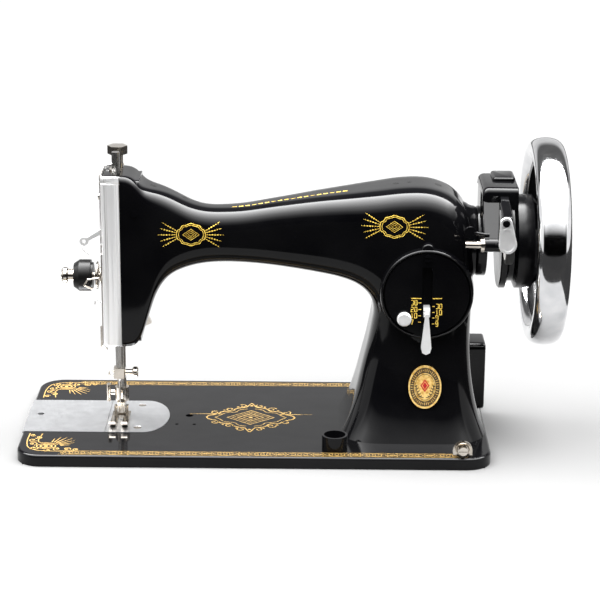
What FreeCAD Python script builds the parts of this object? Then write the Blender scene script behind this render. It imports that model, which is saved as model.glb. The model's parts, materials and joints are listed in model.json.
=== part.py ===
import FreeCAD, Part
import math
import os

# Domestic flat-bed lockstitch sewing machine head, millimetres.
# Frame: X runs left to right along the arm, Y from the operator to the back, Z up.
# Origin: the middle of the bed's underside, on the plane that the cabinet or case carries.

V = FreeCAD.Vector
X_AXIS = (1, 0, 0)
Y_AXIS = (0, 1, 0)
Z_AXIS = (0, 0, 1)

# ---------------------------------------------------------------- driving sizes
# Bed casting
bed_length = 370.0
bed_width = 178.0
bed_height = 9.5
bed_skin = 4.5
rim_wall = 8.0
bed_corner_r = 20.0

# Where the two ends of the arm stand on the bed, from the bed's own ends
needle_from_left = 75.5
pillar_axis_from_right = 51.0

# Arm casting
shaft_height = 150.5          # arm shaft above the bed's top
arm_wall = 5.0
head_half_depth = 24.0
head_corner_r = 13.0
pillar_half_depth = 38.5
pillar_left_half = 41.0       # pillar axis to its left side
pillar_right_half = 36.0      # pillar axis to its right side
pillar_foot_half_depth = 59.0
neck_r = 28.0

# Shaft train
shaft_r = 5.5
bush_wall = 2.5
shaft_fit = 0.05
needle_stroke = 28.0
hook_crank_throw = 9.5

# Needle and presser bars
needle_bar_r = 3.15
presser_bar_r = 3.6
needle_y = -9.0
bar_spacing = 16.0
presser_lift = 5.0
bar_fit = 0.05

# Hand wheel
wheel_r = 82.0
wheel_rim_width = 26.0
wheel_rim_depth = 17.0
belt_flange_r = 37.2
belt_groove_r = 31.5

# Hook, bobbin and feed
hook_depth = 27.0             # hook axis below the bed's top
race_outer_r = 19.0
race_inner_r = 15.35
hook_fit = 0.35
bobbin_r = 10.15
bobbin_width = 10.4
rock_shaft_r = 5.0
feed_shaft_r = 4.5

# Plates in the bed
plate_thickness = 2.2
plate_proud = 0.3
plate_width = 73.0
plate_gap = 0.35
plate_centre_y = -1.2

# Stitch regulator plate and badge on the pillar
dial_r = 34.0
badge_half_w = 13.0
badge_half_h = 17.3

# Bobbin winder
tyre_r = 15.0
tyre_gap = 1.5                # tyre to the belt flange while the winder is off

gap = 0.3                     # air between separate moving pieces

# ---------------------------------------------------------------- places worked out from them
bed_top = bed_height
left_end = -bed_length / 2
right_end = bed_length / 2
needle_x = left_end + needle_from_left
pillar_x = right_end - pillar_axis_from_right
shaft_z = bed_top + shaft_height
hook_z = bed_top - hook_depth
presser_y = needle_y + bar_spacing
plate_top = bed_top + plate_proud
plate_bottom = plate_top - plate_thickness

head_left = needle_x + 3.5            # the casting's left face, where the face plate seats
head_bottom = bed_top + 65.5
head_top = shaft_z + 54.5
face_left = head_left - 16.5
neck_end = pillar_x + 39.5
wheel_left = neck_end + 41.0          # left edge of the chromed rim
wheel_mid = wheel_left + wheel_rim_width / 2


# ---------------------------------------------------------------- shape helpers
def box(x0, x1, y0, y1, z0, z1):
    return Part.makeBox(x1 - x0, y1 - y0, z1 - z0, V(x0, y0, z0))


def cyl(radius, length, at, axis=Z_AXIS):
    return Part.makeCylinder(radius, length, V(*at), V(*axis))


def tube(outer, inner, length, at, axis=Z_AXIS):
    """A round tube; the bore's tool is longer than the tube at both ends."""
    start = [at[i] - axis[i] for i in range(3)]
    return cyl(outer, length, at, axis).cut(cyl(inner, length + 2, start, axis))


def cone(r0, r1, length, at, axis=Z_AXIS):
    return Part.makeCone(r0, r1, length, V(*at), V(*axis))


def ball(radius, at):
    return Part.makeSphere(radius, V(*at))


def fuse(shapes):
    whole = shapes[0].multiFuse(shapes[1:]) if len(shapes) > 1 else shapes[0]
    return whole.removeSplitter()


def rod(points, radius):
    """A bent wire: a cylinder along each run and a ball at each bend."""
    pieces = []
    for a, b in zip(points, points[1:]):
        run = V(*b) - V(*a)
        pieces.append(Part.makeCylinder(radius, run.Length, V(*a), run))
    for p in points[1:-1]:
        pieces.append(ball(radius, p))
    return fuse(pieces)


def rounded_outline(u0, u1, v0, v1, r, place):
    """A closed wire round a rectangle; place maps a flat (u, v) to space."""
    r = min(r, 0.49 * (u1 - u0), 0.49 * (v1 - v0))
    k = r * (1 - math.sqrt(0.5))
    corners = [
        ((u1 - r, v0), (u1 - k, v0 + k), (u1, v0 + r)),
        ((u1, v1 - r), (u1 - k, v1 - k), (u1 - r, v1)),
        ((u0 + r, v1), (u0 + k, v1 - k), (u0, v1 - r)),
        ((u0, v0 + r), (u0 + k, v0 + k), (u0 + r, v0)),
    ]
    edges = []
    last = corners[-1][2]
    for start, middle, end in corners:
        edges.append(Part.makeLine(place(*last), place(*start)))
        edges.append(Part.Arc(place(*start), place(*middle), place(*end)).toShape())
        last = end
    return Part.Wire(edges)


def section_x(x, y_half, z0, z1, r):
    return rounded_outline(-y_half, y_half, z0, z1, r, lambda u, v: V(x, u, v))


def section_z(z, x0, x1, y_half, r):
    return rounded_outline(x0, x1, -y_half, y_half, r, lambda u, v: V(u, v, z))


def slab(x0, x1, y0, y1, z0, z1, r):
    """A block with its four upright edges rounded."""
    wire = rounded_outline(x0, x1, y0, y1, r, lambda u, v: V(u, v, z0))
    return Part.Face(wire).extrude(V(0, 0, z1 - z0))


def prism(points, place, push):
    """A straight-sided outline pushed along a vector."""
    loop = [place(*p) for p in points]
    return Part.Face(Part.makePolygon(loop + [loop[0]])).extrude(V(*push))


def lathe(profile, centre, axis=X_AXIS):
    """Turns (along, radius) points about an axis parallel to X, Y or Z."""
    side = {X_AXIS: Z_AXIS, Y_AXIS: X_AXIS, Z_AXIS: X_AXIS}[axis]
    base = V(*centre)
    along, out = V(*axis), V(*side)
    loop = [base + along * a + out * r for a, r in profile]
    face = Part.Face(Part.makePolygon(loop + [loop[0]]))
    return face.revolve(base, along, 360)


def oval_disc(half_x, half_z, y0, thickness, x, z):
    ellipse = Part.Ellipse(V(x, y0, z), max(half_x, half_z), min(half_x, half_z))
    wire = Part.Wire([ellipse.toShape()])
    wire.rotate(V(x, y0, z), V(1, 0, 0), 90)
    wire.rotate(V(x, y0, z), V(0, 1, 0), 90 if half_z > half_x else 0)
    return Part.Face(wire).extrude(V(0, thickness, 0))


def slotted_screw(radius, head, at, axis, shank_r, shank):
    """A cheese-head screw: the head stands out along axis, the shank goes in."""
    top = cyl(radius, head, at, axis)
    into = tuple(-c for c in axis)
    body = top.fuse(cyl(shank_r, shank, at, into))
    slot = Part.makeBox(2 * radius + 2, 0.8, 0.7, V(-radius - 1, -0.4, head - 0.7))
    slot.Placement = FreeCAD.Placement(V(*at), FreeCAD.Rotation(V(0, 0, 1), V(*axis)))
    return body.cut(slot)


# ---------------------------------------------------------------- bed
hinge_bore_r = 4.75
hinge_bore_depth = 22.0
hinge_bore_z = -2.0
hinge_mouth_y = bed_width / 2 - rim_wall
hinge_from_end = 62.0
bed_opening_left = left_end + rim_wall + 4
hook_wall_x = needle_x + 10.3         # left face of the lug that carries the race
lug_right = hook_wall_x + 20
plate_joint_x = needle_x - 10.3
plate_right = needle_x + 39.0
feed_shaft_y = 32.0
feed_shaft_z = bed_top - 18.0
knob_x = pillar_x - 71.0
knob_y = -pillar_foot_half_depth - 10.0
shaft_lug_x = pillar_x - 44.0
shaft_lug_w = 10.0
feed_lug_x = needle_x + 98.0
lift_x = needle_x + 55.0
lift_y = 2.0
rod_well_left = pillar_x - 30.0
rod_well_right = pillar_x + 20.0


def plate_recess(grow):
    """The shallow seat that both plates lie in; its right end is a half round."""
    y0 = plate_centre_y - plate_width / 2 - grow
    y1 = plate_centre_y + plate_width / 2 + grow
    radius = (y1 - y0) / 2
    middle = plate_right - radius * 0.55
    body = box(left_end - 3, middle, y0, y1, plate_bottom, plate_top + 5)
    nose = Part.makeCylinder(radius, plate_top + 5 - plate_bottom, V(0, 0, 0))
    squash = FreeCAD.Matrix()
    squash.scale(0.55 + grow / radius * 0.45, 1, 1)
    nose = nose.transformGeometry(squash)
    nose.translate(V(middle, plate_centre_y, plate_bottom))
    return body.fuse(nose)


def make_bed():
    half_w = bed_width / 2
    outer = slab(left_end, right_end, -half_w, half_w, 0, bed_top, bed_corner_r)
    top_edges = [e for e in outer.Edges if e.BoundBox.ZMin > bed_top - 0.01]
    outer = outer.makeFillet(2.2, top_edges)
    under = slab(left_end + rim_wall, right_end - rim_wall, -half_w + rim_wall, half_w - rim_wall,
                 -1, bed_top - bed_skin, bed_corner_r - rim_wall)
    bed = outer.cut(under)
    lug_top = bed_top - bed_skin + 1
    lugs = [
        # the lug that carries the race and the hook shaft's left bearing
        box(hook_wall_x, lug_right, needle_y - 15, needle_y + 15, hook_z - 12, lug_top),
        box(shaft_lug_x, shaft_lug_x + shaft_lug_w, needle_y - 10, needle_y + 10, hook_z - 10, lug_top),
        box(shaft_lug_x, shaft_lug_x + shaft_lug_w, feed_shaft_y - 9, feed_shaft_y + 9,
            feed_shaft_z - 8, lug_top),
        box(feed_lug_x, feed_lug_x + shaft_lug_w, feed_shaft_y - 9, feed_shaft_y + 9,
            feed_shaft_z - 8, lug_top),
        cyl(7.0, lug_top - 1, (lift_x, lift_y, 1)),
    ]
    for side in (-1, 1):
        at = side * (bed_length / 2 - hinge_from_end)
        lugs.append(box(at - 11, at + 11, hinge_mouth_y - hinge_bore_depth - 4, hinge_mouth_y,
                        hinge_bore_z - hinge_bore_r - 2.4, lug_top))
    bed = fuse([bed] + lugs)
    for side in (-1, 1):
        at = side * (bed_length / 2 - hinge_from_end)
        start = (at, hinge_mouth_y - hinge_bore_depth, hinge_bore_z)
        bed = bed.cut(cyl(hinge_bore_r, hinge_bore_depth + rim_wall + 1, start, Y_AXIS))
    bed = bed.cut(plate_recess(plate_gap))
    bed = bed.cut(box(bed_opening_left, hook_wall_x, plate_centre_y - 30, plate_centre_y + 30,
                      -1, bed_top + 1))
    bed = bed.cut(box(rod_well_left, rod_well_right, -26, 46, -1, bed_top + 1))
    bed = bed.cut(cyl(rock_shaft_r + bar_fit, 400, (hook_wall_x - 5, needle_y, hook_z), X_AXIS))
    bed = bed.cut(cyl(feed_shaft_r + bar_fit, 300, (feed_lug_x - 5, feed_shaft_y, feed_shaft_z), X_AXIS))
    bed = bed.cut(cyl(lift_pin_r + bar_fit, 40, (lift_x, lift_y, -20)))
    bed = bed.cut(cyl(knob_stem_r + bar_fit, 40, (knob_x, knob_y, -20)))
    for x, y in plate_screw_places():
        bed = bed.cut(cyl(1.5, 20, (x, y, -8)))
    for x in (needle_x + 46, needle_x + 60):
        bed = bed.cut(cyl(1.4, 20, (x, plate_centre_y - 17, -5)))
    for x, y in arm_bolt_places():
        bed = bed.cut(cyl(arm_bolt_r, 30, (x, y, -10)))
    return bed


lift_pin_r = 3.0
knob_stem_r = 3.5
arm_bolt_r = 4.0


def plate_screw_places():
    return [(plate_right - 24, plate_centre_y - 26), (plate_right - 24, plate_centre_y + 26)]


def arm_bolt_places():
    back = pillar_foot_half_depth - 9.0
    return [(pillar_x - 48, back), (pillar_x - 48, -back + 4), (pillar_x + 34, -22.0)]


def make_arm_bolts():
    """Three hexagon-headed bolts from under the bed into the pillar's foot."""
    bolts = []
    under = bed_top - bed_skin
    for x, y in arm_bolt_places():
        head = [(x + 7 * math.cos(math.radians(a)), y + 7 * math.sin(math.radians(a)))
                for a in range(0, 360, 60)]
        hexagon = prism(head, lambda u, v: V(u, v, under - 4.2), (0, 0, 4.2))
        bolts.append(hexagon.fuse(cyl(arm_bolt_r - 0.1, bed_skin + 9, (x, y, under - 1))))
    return Part.Compound(bolts)


# ---------------------------------------------------------------- arm casting
# Stations along the arm: share of the way from the head to the neck, height of the underside
# and of the top against the shaft's axis, and half the depth.
arm_stations = [
    (0.00, -31.0, 47.0, 23.0),
    (0.07, -27.5, 39.5, 22.5),
    (0.145, -17.0, 31.5, 21.5),
    (0.245, -13.2, 24.3, 21.0),
    (0.36, -13.8, 27.3, 22.5),
    (0.51, -17.2, 34.0, 27.0),
    (0.66, -24.5, 39.0, 33.0),
    (0.78, -34.0, 43.3, 37.5),
    (0.88, -36.0, 44.0, 38.0),
    (0.955, -33.0, 36.5, 33.5),
    (1.00, -28.0, 29.0, 29.0),
]
# Pillar sections: height above the bed, growth of the left and right sides and of half the depth.
pillar_sections = [
    (0.0, 26.0, 14.0, 20.5),
    (7.0, 22.0, 7.0, 14.5),
    (22.0, 16.0, 1.5, 8.5),
    (42.0, 11.0, 0.0, 5.0),
    (65.0, 6.0, 0.0, 2.5),
    (90.0, 1.5, 0.0, 0.5),
    (112.0, -1.5, 0.0, 0.0),
    (134.0, -8.0, -4.0, -0.5),
]
# Head sections: height, and how far the right side stands from the left face.
head_sections = [
    (0.0, 11.5), (15.0, 17.5), (36.0, 24.0), (60.0, 32.0), (95.0, 32.0), (125.0, 24.0), (139.5, 12.5),
]
arm_start = head_left + 12.0


def arm_loft(inset, x_from, x_to):
    wires = []
    span = neck_end - arm_start
    for share, low, high, half in arm_stations:
        x = arm_start + share * span
        r = min(16.0 - inset * 0.6, (high - low) / 2 - inset - 1)
        wires.append(section_x(x, half - inset, shaft_z + low + inset, shaft_z + high - inset, r))
    body = Part.makeLoft(wires, True, False)
    return body.common(box(x_from, x_to, -200, 200, -100, 400))


def pillar_loft(inset, z_from, z_to):
    wires = []
    for height, left, right, depth in pillar_sections:
        wires.append(section_z(bed_top + height, pillar_x - pillar_left_half - left + inset,
                               pillar_x + pillar_right_half + right - inset,
                               pillar_half_depth + depth - inset, 26.0 - inset * 0.6))
    body = Part.makeLoft(wires, True, False)
    return body.common(box(-500, 500, -200, 200, z_from, z_to))


def head_loft(inset):
    tall = head_top - head_bottom
    wires = []
    for height, width in head_sections:
        z = head_bottom + height * tall / head_sections[-1][0]
        wires.append(section_z(z, head_left, head_left + width - inset, head_half_depth - inset, 5.0))
    return Part.makeLoft(wires, True, False)


cavity_left = head_left + 17.0        # right side of the head's cavity
web_right = cavity_left + 15.0        # the wall with the shaft's left bearing
cavity_half = head_half_depth - 3.8
shelf_thickness = 9.0
shelf_left = face_left + 1.6           # the face plate lies against the shelves
dial_z = shaft_z - 32.2
dial_x = pillar_x - 0.3
dial_seat_y = -(pillar_half_depth + 2.0)
badge_z = bed_top + 43.2
badge_seat_y = -(pillar_half_depth + 6.6)
badge_lean = 7.5                      # degrees, the lean of the pillar's front there
motor_pad_x = pillar_x + 52.0
motor_hole_r = 4.0
motor_hole_depth = 14.0
spool_x = pillar_x - 46.0
spool_hole_r = 2.6
rear_cover_r = 29.0
rear_cover_x = pillar_x - 8.0
rear_seat_y = pillar_half_depth + 2.2
lifter_z = head_bottom + 46.0
lifter_x = head_left + 6.0
lifter_pin_r = 2.5
stud_z = shaft_z + 25.0               # take-up lever's stud
stud_x = head_left + 11.3


def make_arm():
    solid_pillar = pillar_loft(0.0, 0, 400)
    outer = fuse([
        arm_loft(0.0, -500, 500),
        solid_pillar,
        head_loft(0.0),
        cyl(neck_r, 24, (neck_end - 24, 0, shaft_z), X_AXIS),
        # seats for the stitch plate and the badge
        cyl(dial_r + 2.6, 14, (dial_x, dial_seat_y, dial_z), Y_AXIS),
        leaned(oval_disc(badge_half_w + 1.2, badge_half_h + 1.2, badge_seat_y, 10, dial_x, badge_z)),
        cyl(rear_cover_r + 2, 14, (rear_cover_x, rear_seat_y - 14, dial_z), Y_AXIS),
        # motor pad at the right of the pillar's foot
        slab(pillar_x + 20, motor_pad_x, 12, 44, bed_top + 3.5, bed_top + 60, 4),
        # shelves of the head that hold both bars' bearings
        slab(shelf_left, head_left + 4, -head_half_depth + 3.2, head_half_depth - 3.2,
             head_bottom + 2, head_bottom + 2 + shelf_thickness, head_corner_r - 1.6),
        slab(shelf_left, head_left + 4, -head_half_depth + 3.2, head_half_depth - 3.2,
             head_top - 2 - shelf_thickness, head_top - 2, head_corner_r - 1.6),
    ])
    hollow = arm_loft(arm_wall, web_right, neck_end - 24)
    well = pillar_loft(arm_wall, -10, shaft_z)
    arm = outer.cut(hollow).cut(well)
    arm = arm.cut(box(head_left - 20, cavity_left, -cavity_half, cavity_half,
                      head_bottom + 2 + shelf_thickness, head_top - 2 - shelf_thickness))
    # pocket for the cam drum behind the crank disc
    arm = arm.cut(cyl(drum_r + 2.0, 10, (cavity_left - 5, 0, shaft_z), X_AXIS))
    arm = arm.cut(cyl(shaft_r + bush_wall, 400, (head_left, 0, shaft_z), X_AXIS))
    for y, r in ((needle_y, needle_bar_r), (presser_y, presser_bar_r)):
        arm = arm.cut(cyl(r + bar_fit, 300, (needle_x, y, head_bottom - 20)))
    arm = arm.cut(cyl(screw_r + bar_fit, shelf_thickness + 6,
                      (needle_x, presser_y, head_top - 2 - shelf_thickness - 1)))
    arm = arm.cut(cyl(stud_r, 40, (stud_x, -head_half_depth - 5, stud_z), Y_AXIS))
    arm = arm.cut(cyl(lifter_pin_r + bar_fit, 30, (lifter_x, 10, lifter_z), Y_AXIS))
    arm = arm.fuse(cyl(6.0, 11.5, (spool_x, 0, shaft_z + 25)))
    arm = arm.cut(cyl(spool_hole_r, 40, (spool_x, 0, shaft_z + 20)))
    arm = arm.cut(cyl(motor_hole_r, motor_hole_depth + 1,
                      (motor_pad_x - motor_hole_depth, 28, bed_top + 32), X_AXIS))
    arm = arm.cut(cyl(rear_cover_r - 4, 30, (rear_cover_x, rear_seat_y - 20, dial_z), Y_AXIS))
    arm = arm.cut(box(lever_x - 6, lever_x + 6, dial_seat_y - 3, -10, dial_z - 24, dial_z + 22))
    arm = arm.cut(cyl(2.0, pillar_left_half + pillar_right_half - 6.0,
                      (pillar_x - pillar_left_half + 3.0, lever_pivot_y, lever_pivot_z), X_AXIS))
    arm = arm.cut(cyl(stop_stem_r + bar_fit, 30, (stop_x, dial_seat_y - 3, stop_z), Y_AXIS))
    arm = arm.cut(cyl(2.0, 30, (dial_x, dial_seat_y - 3, dial_z + dial_r - 4.5), Y_AXIS))
    badge_pocket = oval_disc(badge_half_w + 0.1, badge_half_h + 0.1, badge_seat_y - 9, 9, dial_x, badge_z)
    arm = arm.cut(leaned(badge_pocket))
    arm = arm.cut(cyl(nut_r + 0.3, 6, (needle_x, presser_y, head_top - 2)))
    for share in (0.075, 0.2, 0.62, 0.86):
        x = arm_start + share * (neck_end - arm_start)
        arm = arm.cut(cyl(1.6, 60, (x, 0, shaft_z + 14)))
    for x, y in arm_bolt_places():
        boss = cyl(arm_bolt_r + 4, 14, (x, y, bed_top)).common(solid_pillar)
        arm = arm.fuse(boss)
        arm = arm.cut(cyl(arm_bolt_r, 10, (x, y, bed_top - 1)))
    lug = box(shelf_left, shelf_left + 7.2, -4, 3, head_top - 26, head_top - 2 - shelf_thickness)
    arm = arm.fuse(lug.cut(cyl(1.6, 20, (face_left - 2, 0, head_top - 21), X_AXIS)))
    return arm


lever_x = dial_x
stop_x = dial_x - 17.4
stop_z = dial_z - 19.4
stop_stem_r = 2.5
screw_r = 4.5                         # pressure screw's thread
nut_r = 7.0
stud_r = 2.5


# ---------------------------------------------------------------- plates
def make_needle_plate():
    whole = plate_recess(0.0).common(box(plate_joint_x + plate_gap / 2, right_end, -200, 200,
                                         plate_bottom, plate_top))
    plate = whole.cut(cyl(1.1, 20, (needle_x, needle_y, -5)))
    for x0, x1 in dog_rows():
        plate = plate.cut(box(x0 - 0.6, x1 + 0.6, needle_y - dog_front - 1.2, needle_y + dog_back + 4.0,
                              plate_bottom - 1, plate_top + 1))
    for x, y in plate_screw_places():
        plate = plate.cut(cyl(1.5, 20, (x, y, -5)))
        plate = plate.cut(cone(1.5, 3.3, 1.8, (x, y, plate_top - 1.79)))
    return plate


def make_slide_plate():
    whole = plate_recess(0.0).common(box(left_end - 0.4, plate_joint_x - plate_gap / 2, -200, 200,
                                         plate_bottom, plate_top))
    return whole.cut(cyl(2.7, 20, (left_end + 9.5, plate_centre_y + 3.6, -5)))


def make_plate_screws():
    screws = []
    for x, y in plate_screw_places():
        head = cone(1.45, 3.2, 1.75, (x, y, plate_top - 1.8))
        screw = head.fuse(cyl(1.4, 7, (x, y, plate_top - 8.8)))
        screws.append(screw.cut(box(x - 4, x + 4, y - 0.4, y + 0.4, plate_top - 0.7, plate_top + 1)))
    return Part.Compound(screws)


def face_shell(grow_in):
    half = head_half_depth - grow_in
    wire = rounded_outline(face_left + grow_in, head_left + 20, -half, half, head_corner_r - grow_in,
                           lambda u, v: V(u, v, head_bottom + 2.0))
    tall = head_top - head_bottom - 1.5
    return Part.Face(wire).extrude(V(0, 0, tall))


tension_z = shaft_z - 31.3
tension_x = face_left


def make_face_plate():
    plate = face_shell(0.0).cut(face_shell(1.6)).common(box(face_left - 5, head_left, -100, 100, -100, 400))
    plate = plate.cut(box(face_left - 5, face_left + 9, lever_y - 2.6, lever_y + 2.6,
                          stud_z - 27, stud_z + 20))
    plate = plate.cut(cyl(3.0, 10, (face_left - 2, 0, tension_z), X_AXIS))
    plate = plate.cut(cyl(1.7, 10, (face_left - 2, 0, head_top - 21), X_AXIS))
    return plate


def make_face_screws():
    """The screw high on the plate, and the lower one with its thread hook."""
    upper = slotted_screw(2.6, 2.2, (face_left, 0, head_top - 21), (-1, 0, 0), 1.6, 5)
    hook = rod([(face_left - 0.9, -9, head_bottom + 14), (face_left - 0.9, -9, head_bottom - 3),
                (face_left + 3.5, -11, head_bottom - 4.5)], 0.9)
    return Part.Compound([upper, hook])


def make_rear_cover():
    """Round lid over the hole that opens the pillar's back, with a spigot in the hole."""
    lid = cyl(rear_cover_r, 2.6, (rear_cover_x, rear_seat_y, dial_z), Y_AXIS)
    return lid.fuse(cyl(rear_cover_r - 4.2, 4.0, (rear_cover_x, rear_seat_y - 4.0, dial_z), Y_AXIS))


def make_stitch_plate():
    plate = lathe([(0, 0), (0, dial_r - 1.2), (1.2, dial_r), (3.0, dial_r), (3.0, 0)],
                  (dial_x, dial_seat_y - 3.0, dial_z), Y_AXIS)
    tab = cyl(5.0, 3.0, (dial_x, dial_seat_y - 3.0, dial_z + dial_r - 1.5), Y_AXIS)
    low = cyl(4.0, 3.0, (dial_x - 5.5, dial_seat_y - 3.0, dial_z - dial_r + 0.5), Y_AXIS)
    plate = fuse([plate, tab, low])
    plate = plate.cut(box(lever_x - 4.0, lever_x + 4.0, dial_seat_y - 9, dial_seat_y + 9,
                          dial_z - 24, dial_z + 22))
    plate = plate.cut(cyl(stop_stem_r + bar_fit, 20, (stop_x, dial_seat_y - 9, stop_z), Y_AXIS))
    return plate.cut(cyl(2.0, 20, (dial_x, dial_seat_y - 9, dial_z + dial_r - 4.5), Y_AXIS))


def make_stitch_plate_screws():
    """The plate's screw, and the pin inside the pillar that the stitch lever turns on."""
    at = (dial_x, dial_seat_y - 3.0, dial_z + dial_r - 4.5)
    screw = slotted_screw(3.0, 1.6, at, (0, -1, 0), 1.9, 9)
    left = pillar_x - pillar_left_half + 3.0
    right = pillar_x + pillar_right_half - 3.0
    pin = cyl(2.0, right - left, (left, lever_pivot_y, lever_pivot_z), X_AXIS)
    return Part.Compound([screw, pin])


lever_pivot_y = -22.0
lever_pivot_z = dial_z - 8.0


def make_stitch_lever():
    """Pivot barrel inside the pillar, neck through the slot, drop-shaped handle outside."""
    front = dial_seat_y - 3.0
    barrel = cyl(4.0, 11.4, (lever_x - 5.7, lever_pivot_y, lever_pivot_z), X_AXIS)
    neck = prism([(lever_pivot_y, lever_pivot_z + 2.5), (lever_pivot_y, lever_pivot_z - 2.5),
                  (front - 4, dial_z - 17), (front - 4, dial_z - 12)],
                 lambda u, v: V(lever_x - 2.5, u, v), (5.0, 0, 0))
    top = dial_z - 14.0
    tall = 33.0
    drop = [(-1.2, 0), (1.2, 0), (4.1, -tall + 5.5), (3.0, -tall + 1.5), (0, -tall),
            (-3.0, -tall + 1.5), (-4.1, -tall + 5.5)]
    handle = prism(drop, lambda u, v: V(lever_x + u, front - 6.5, top + v), (0, 3.2, 0))
    return fuse([barrel, neck, handle]).cut(
        cyl(2.0 + bar_fit, 20, (lever_x - 10, lever_pivot_y, lever_pivot_z), X_AXIS))


def make_stop_knob():
    front = dial_seat_y - 3.0
    knob = lathe([(0, 0), (0, 4.6), (0.8, 5.6), (3.4, 5.6), (3.4, 0)],
                 (stop_x, front - gap - 3.4, stop_z), Y_AXIS)
    return knob.fuse(cyl(stop_stem_r, 12, (stop_x, front - gap - 0.1, stop_z), Y_AXIS))


def leaned(shape):
    """Tips a piece back about the badge's middle, to lie along the pillar's front."""
    shape.rotate(V(dial_x, badge_seat_y, badge_z), V(1, 0, 0), -badge_lean)
    return shape


def make_badge():
    return leaned(oval_disc(badge_half_w, badge_half_h, badge_seat_y - 1.2, 1.2, dial_x, badge_z))


# ---------------------------------------------------------------- arm shaft and its train
disc_left = head_left + 7.0
disc_r = needle_stroke / 2 + 3.1
drum_left = disc_left + 3.5
drum_r = 14.0
drum_w = 8.2
crank_x = pillar_x - 20.0
crank_w = 12.0
web_w = 4.0
ecc_x = pillar_x + 2.0
ecc_w = 6.0
ecc_r = 11.0
ecc_throw = 3.0
clutch_left = wheel_left + 20.0
shaft_right = clutch_left + 7.0
bush_left_x = drum_left + drum_w + 0.5
bush_right_x = neck_end - 24.0


def make_arm_shaft():
    left = cyl(shaft_r, crank_x - drum_left, (drum_left, 0, shaft_z), X_AXIS)
    right_x = crank_x + crank_w
    right = cyl(shaft_r, shaft_right - right_x, (right_x, 0, shaft_z), X_AXIS)
    web_r = hook_crank_throw + 5.0
    webs = [cyl(web_r, web_w, (crank_x - web_w, 0, shaft_z), X_AXIS),
            cyl(web_r, web_w, (right_x, 0, shaft_z), X_AXIS)]
    pin = cyl(4.5, crank_w + 2, (crank_x - 1, 0, shaft_z + hook_crank_throw), X_AXIS)
    eccentric = cyl(ecc_r, ecc_w, (ecc_x, ecc_throw, shaft_z), X_AXIS)
    return fuse([left, right, pin, eccentric] + webs)


def make_take_up_cam():
    """The drum that works the take-up lever, keyed on the shaft behind the crank disc."""
    low = drum_r - 2.5
    profile = [(0, shaft_r), (0, drum_r), (2.2, drum_r), (2.2, low), (6.0, low), (6.0, drum_r),
               (drum_w, drum_r), (drum_w, shaft_r)]
    return lathe(profile, (drum_left, 0, shaft_z), X_AXIS)


def make_needle_crank():
    """Crank disc on the shaft's end with the cam drum keyed behind it."""
    disc = cyl(disc_r, 3.5, (disc_left, 0, shaft_z), X_AXIS)
    reach = disc_left - (link_left + link_w) - gap
    pin = cyl(link_pin_r, reach, (disc_left - reach, 0, shaft_z + needle_stroke / 2), X_AXIS)
    weight = prism([(-14, -3), (14, -3), (9, -disc_r + 4), (-9, -disc_r + 4)],
                   lambda u, v: V(disc_left - 1.4, u, shaft_z + v), (1.5, 0, 0))
    return Part.Compound([fuse([disc, pin, weight]), make_take_up_cam()])


link_left = disc_left - 4.9
link_w = 3.2
link_drop = 33.0
link_pin_r = 2.3


def make_needle_link():
    top = (link_left, 0, shaft_z + needle_stroke / 2)
    low = (link_left, needle_y, top[2] - link_drop)
    bar = prism([(-3.0, top[2]), (3.0, top[2]), (needle_y + 3.0, low[2]), (needle_y - 3.0, low[2])],
                lambda u, v: V(link_left, u, v), (link_w, 0, 0))
    link = fuse([cyl(4.2, link_w, top, X_AXIS), cyl(4.6, link_w, low, X_AXIS), bar])
    link = link.cut(cyl(link_pin_r + bar_fit, 20, (link_left - 5, 0, top[2]), X_AXIS))
    return link.cut(cyl(bar_stud_r + bar_fit, 20, (link_left - 5, needle_y, low[2]), X_AXIS))


clamp_z = bed_top + 36.5
clamp_h = 8.5
bar_stud_r = 2.6
bar_bottom = clamp_z + 0.6
bar_top = head_top + 17.0


def make_needle_bar():
    stud_height = shaft_z + needle_stroke / 2 - link_drop
    bar = cyl(needle_bar_r, bar_top - bar_bottom, (needle_x, needle_y, bar_bottom))
    collar = cyl(5.0, 9.0, (needle_x, needle_y, stud_height - 4.5))
    stud = cyl(bar_stud_r, link_left + link_w - needle_x, (needle_x, needle_y, stud_height), X_AXIS)
    return fuse([bar, collar, stud]).cut(cyl(1.05, 12, (needle_x, needle_y, bar_bottom - 1)))


def make_needle_clamp():
    """The block at the bar's lower end, its cheek screwed through, and its thread eye."""
    block = slab(needle_x - 4.6, needle_x + 4.6, needle_y - 4.6, needle_y + 4.6,
                 clamp_z, clamp_z + clamp_h, 1.5)
    block = block.cut(cyl(needle_bar_r, clamp_h, (needle_x, needle_y, bar_bottom)))
    block = block.cut(cyl(1.05, 10, (needle_x, needle_y, clamp_z - 5)))
    block = block.cut(cyl(1.6, 10, (needle_x + 1.2, needle_y, clamp_z + 4.5), X_AXIS))
    eye = Part.makeTorus(2.2, 0.55, V(needle_x - 6.4, needle_y, clamp_z + 3.0), V(0, 1, 0))
    return fuse([block, eye])


def make_clamp_screw():
    start = needle_x + 4.6 + gap
    stem = cyl(2.4, 5.5, (start, needle_y, clamp_z + 4.5), X_AXIS)
    tip = cyl(1.5, 3.2, (start - 1.3, needle_y, clamp_z + 4.5), X_AXIS)
    head = lathe([(0, 0), (0, 3.6), (1.0, 4.5), (3.4, 4.5), (4.4, 3.6), (4.4, 0)],
                 (start + 5.5, needle_y, clamp_z + 4.5), X_AXIS)
    return fuse([stem, tip, head])


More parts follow.
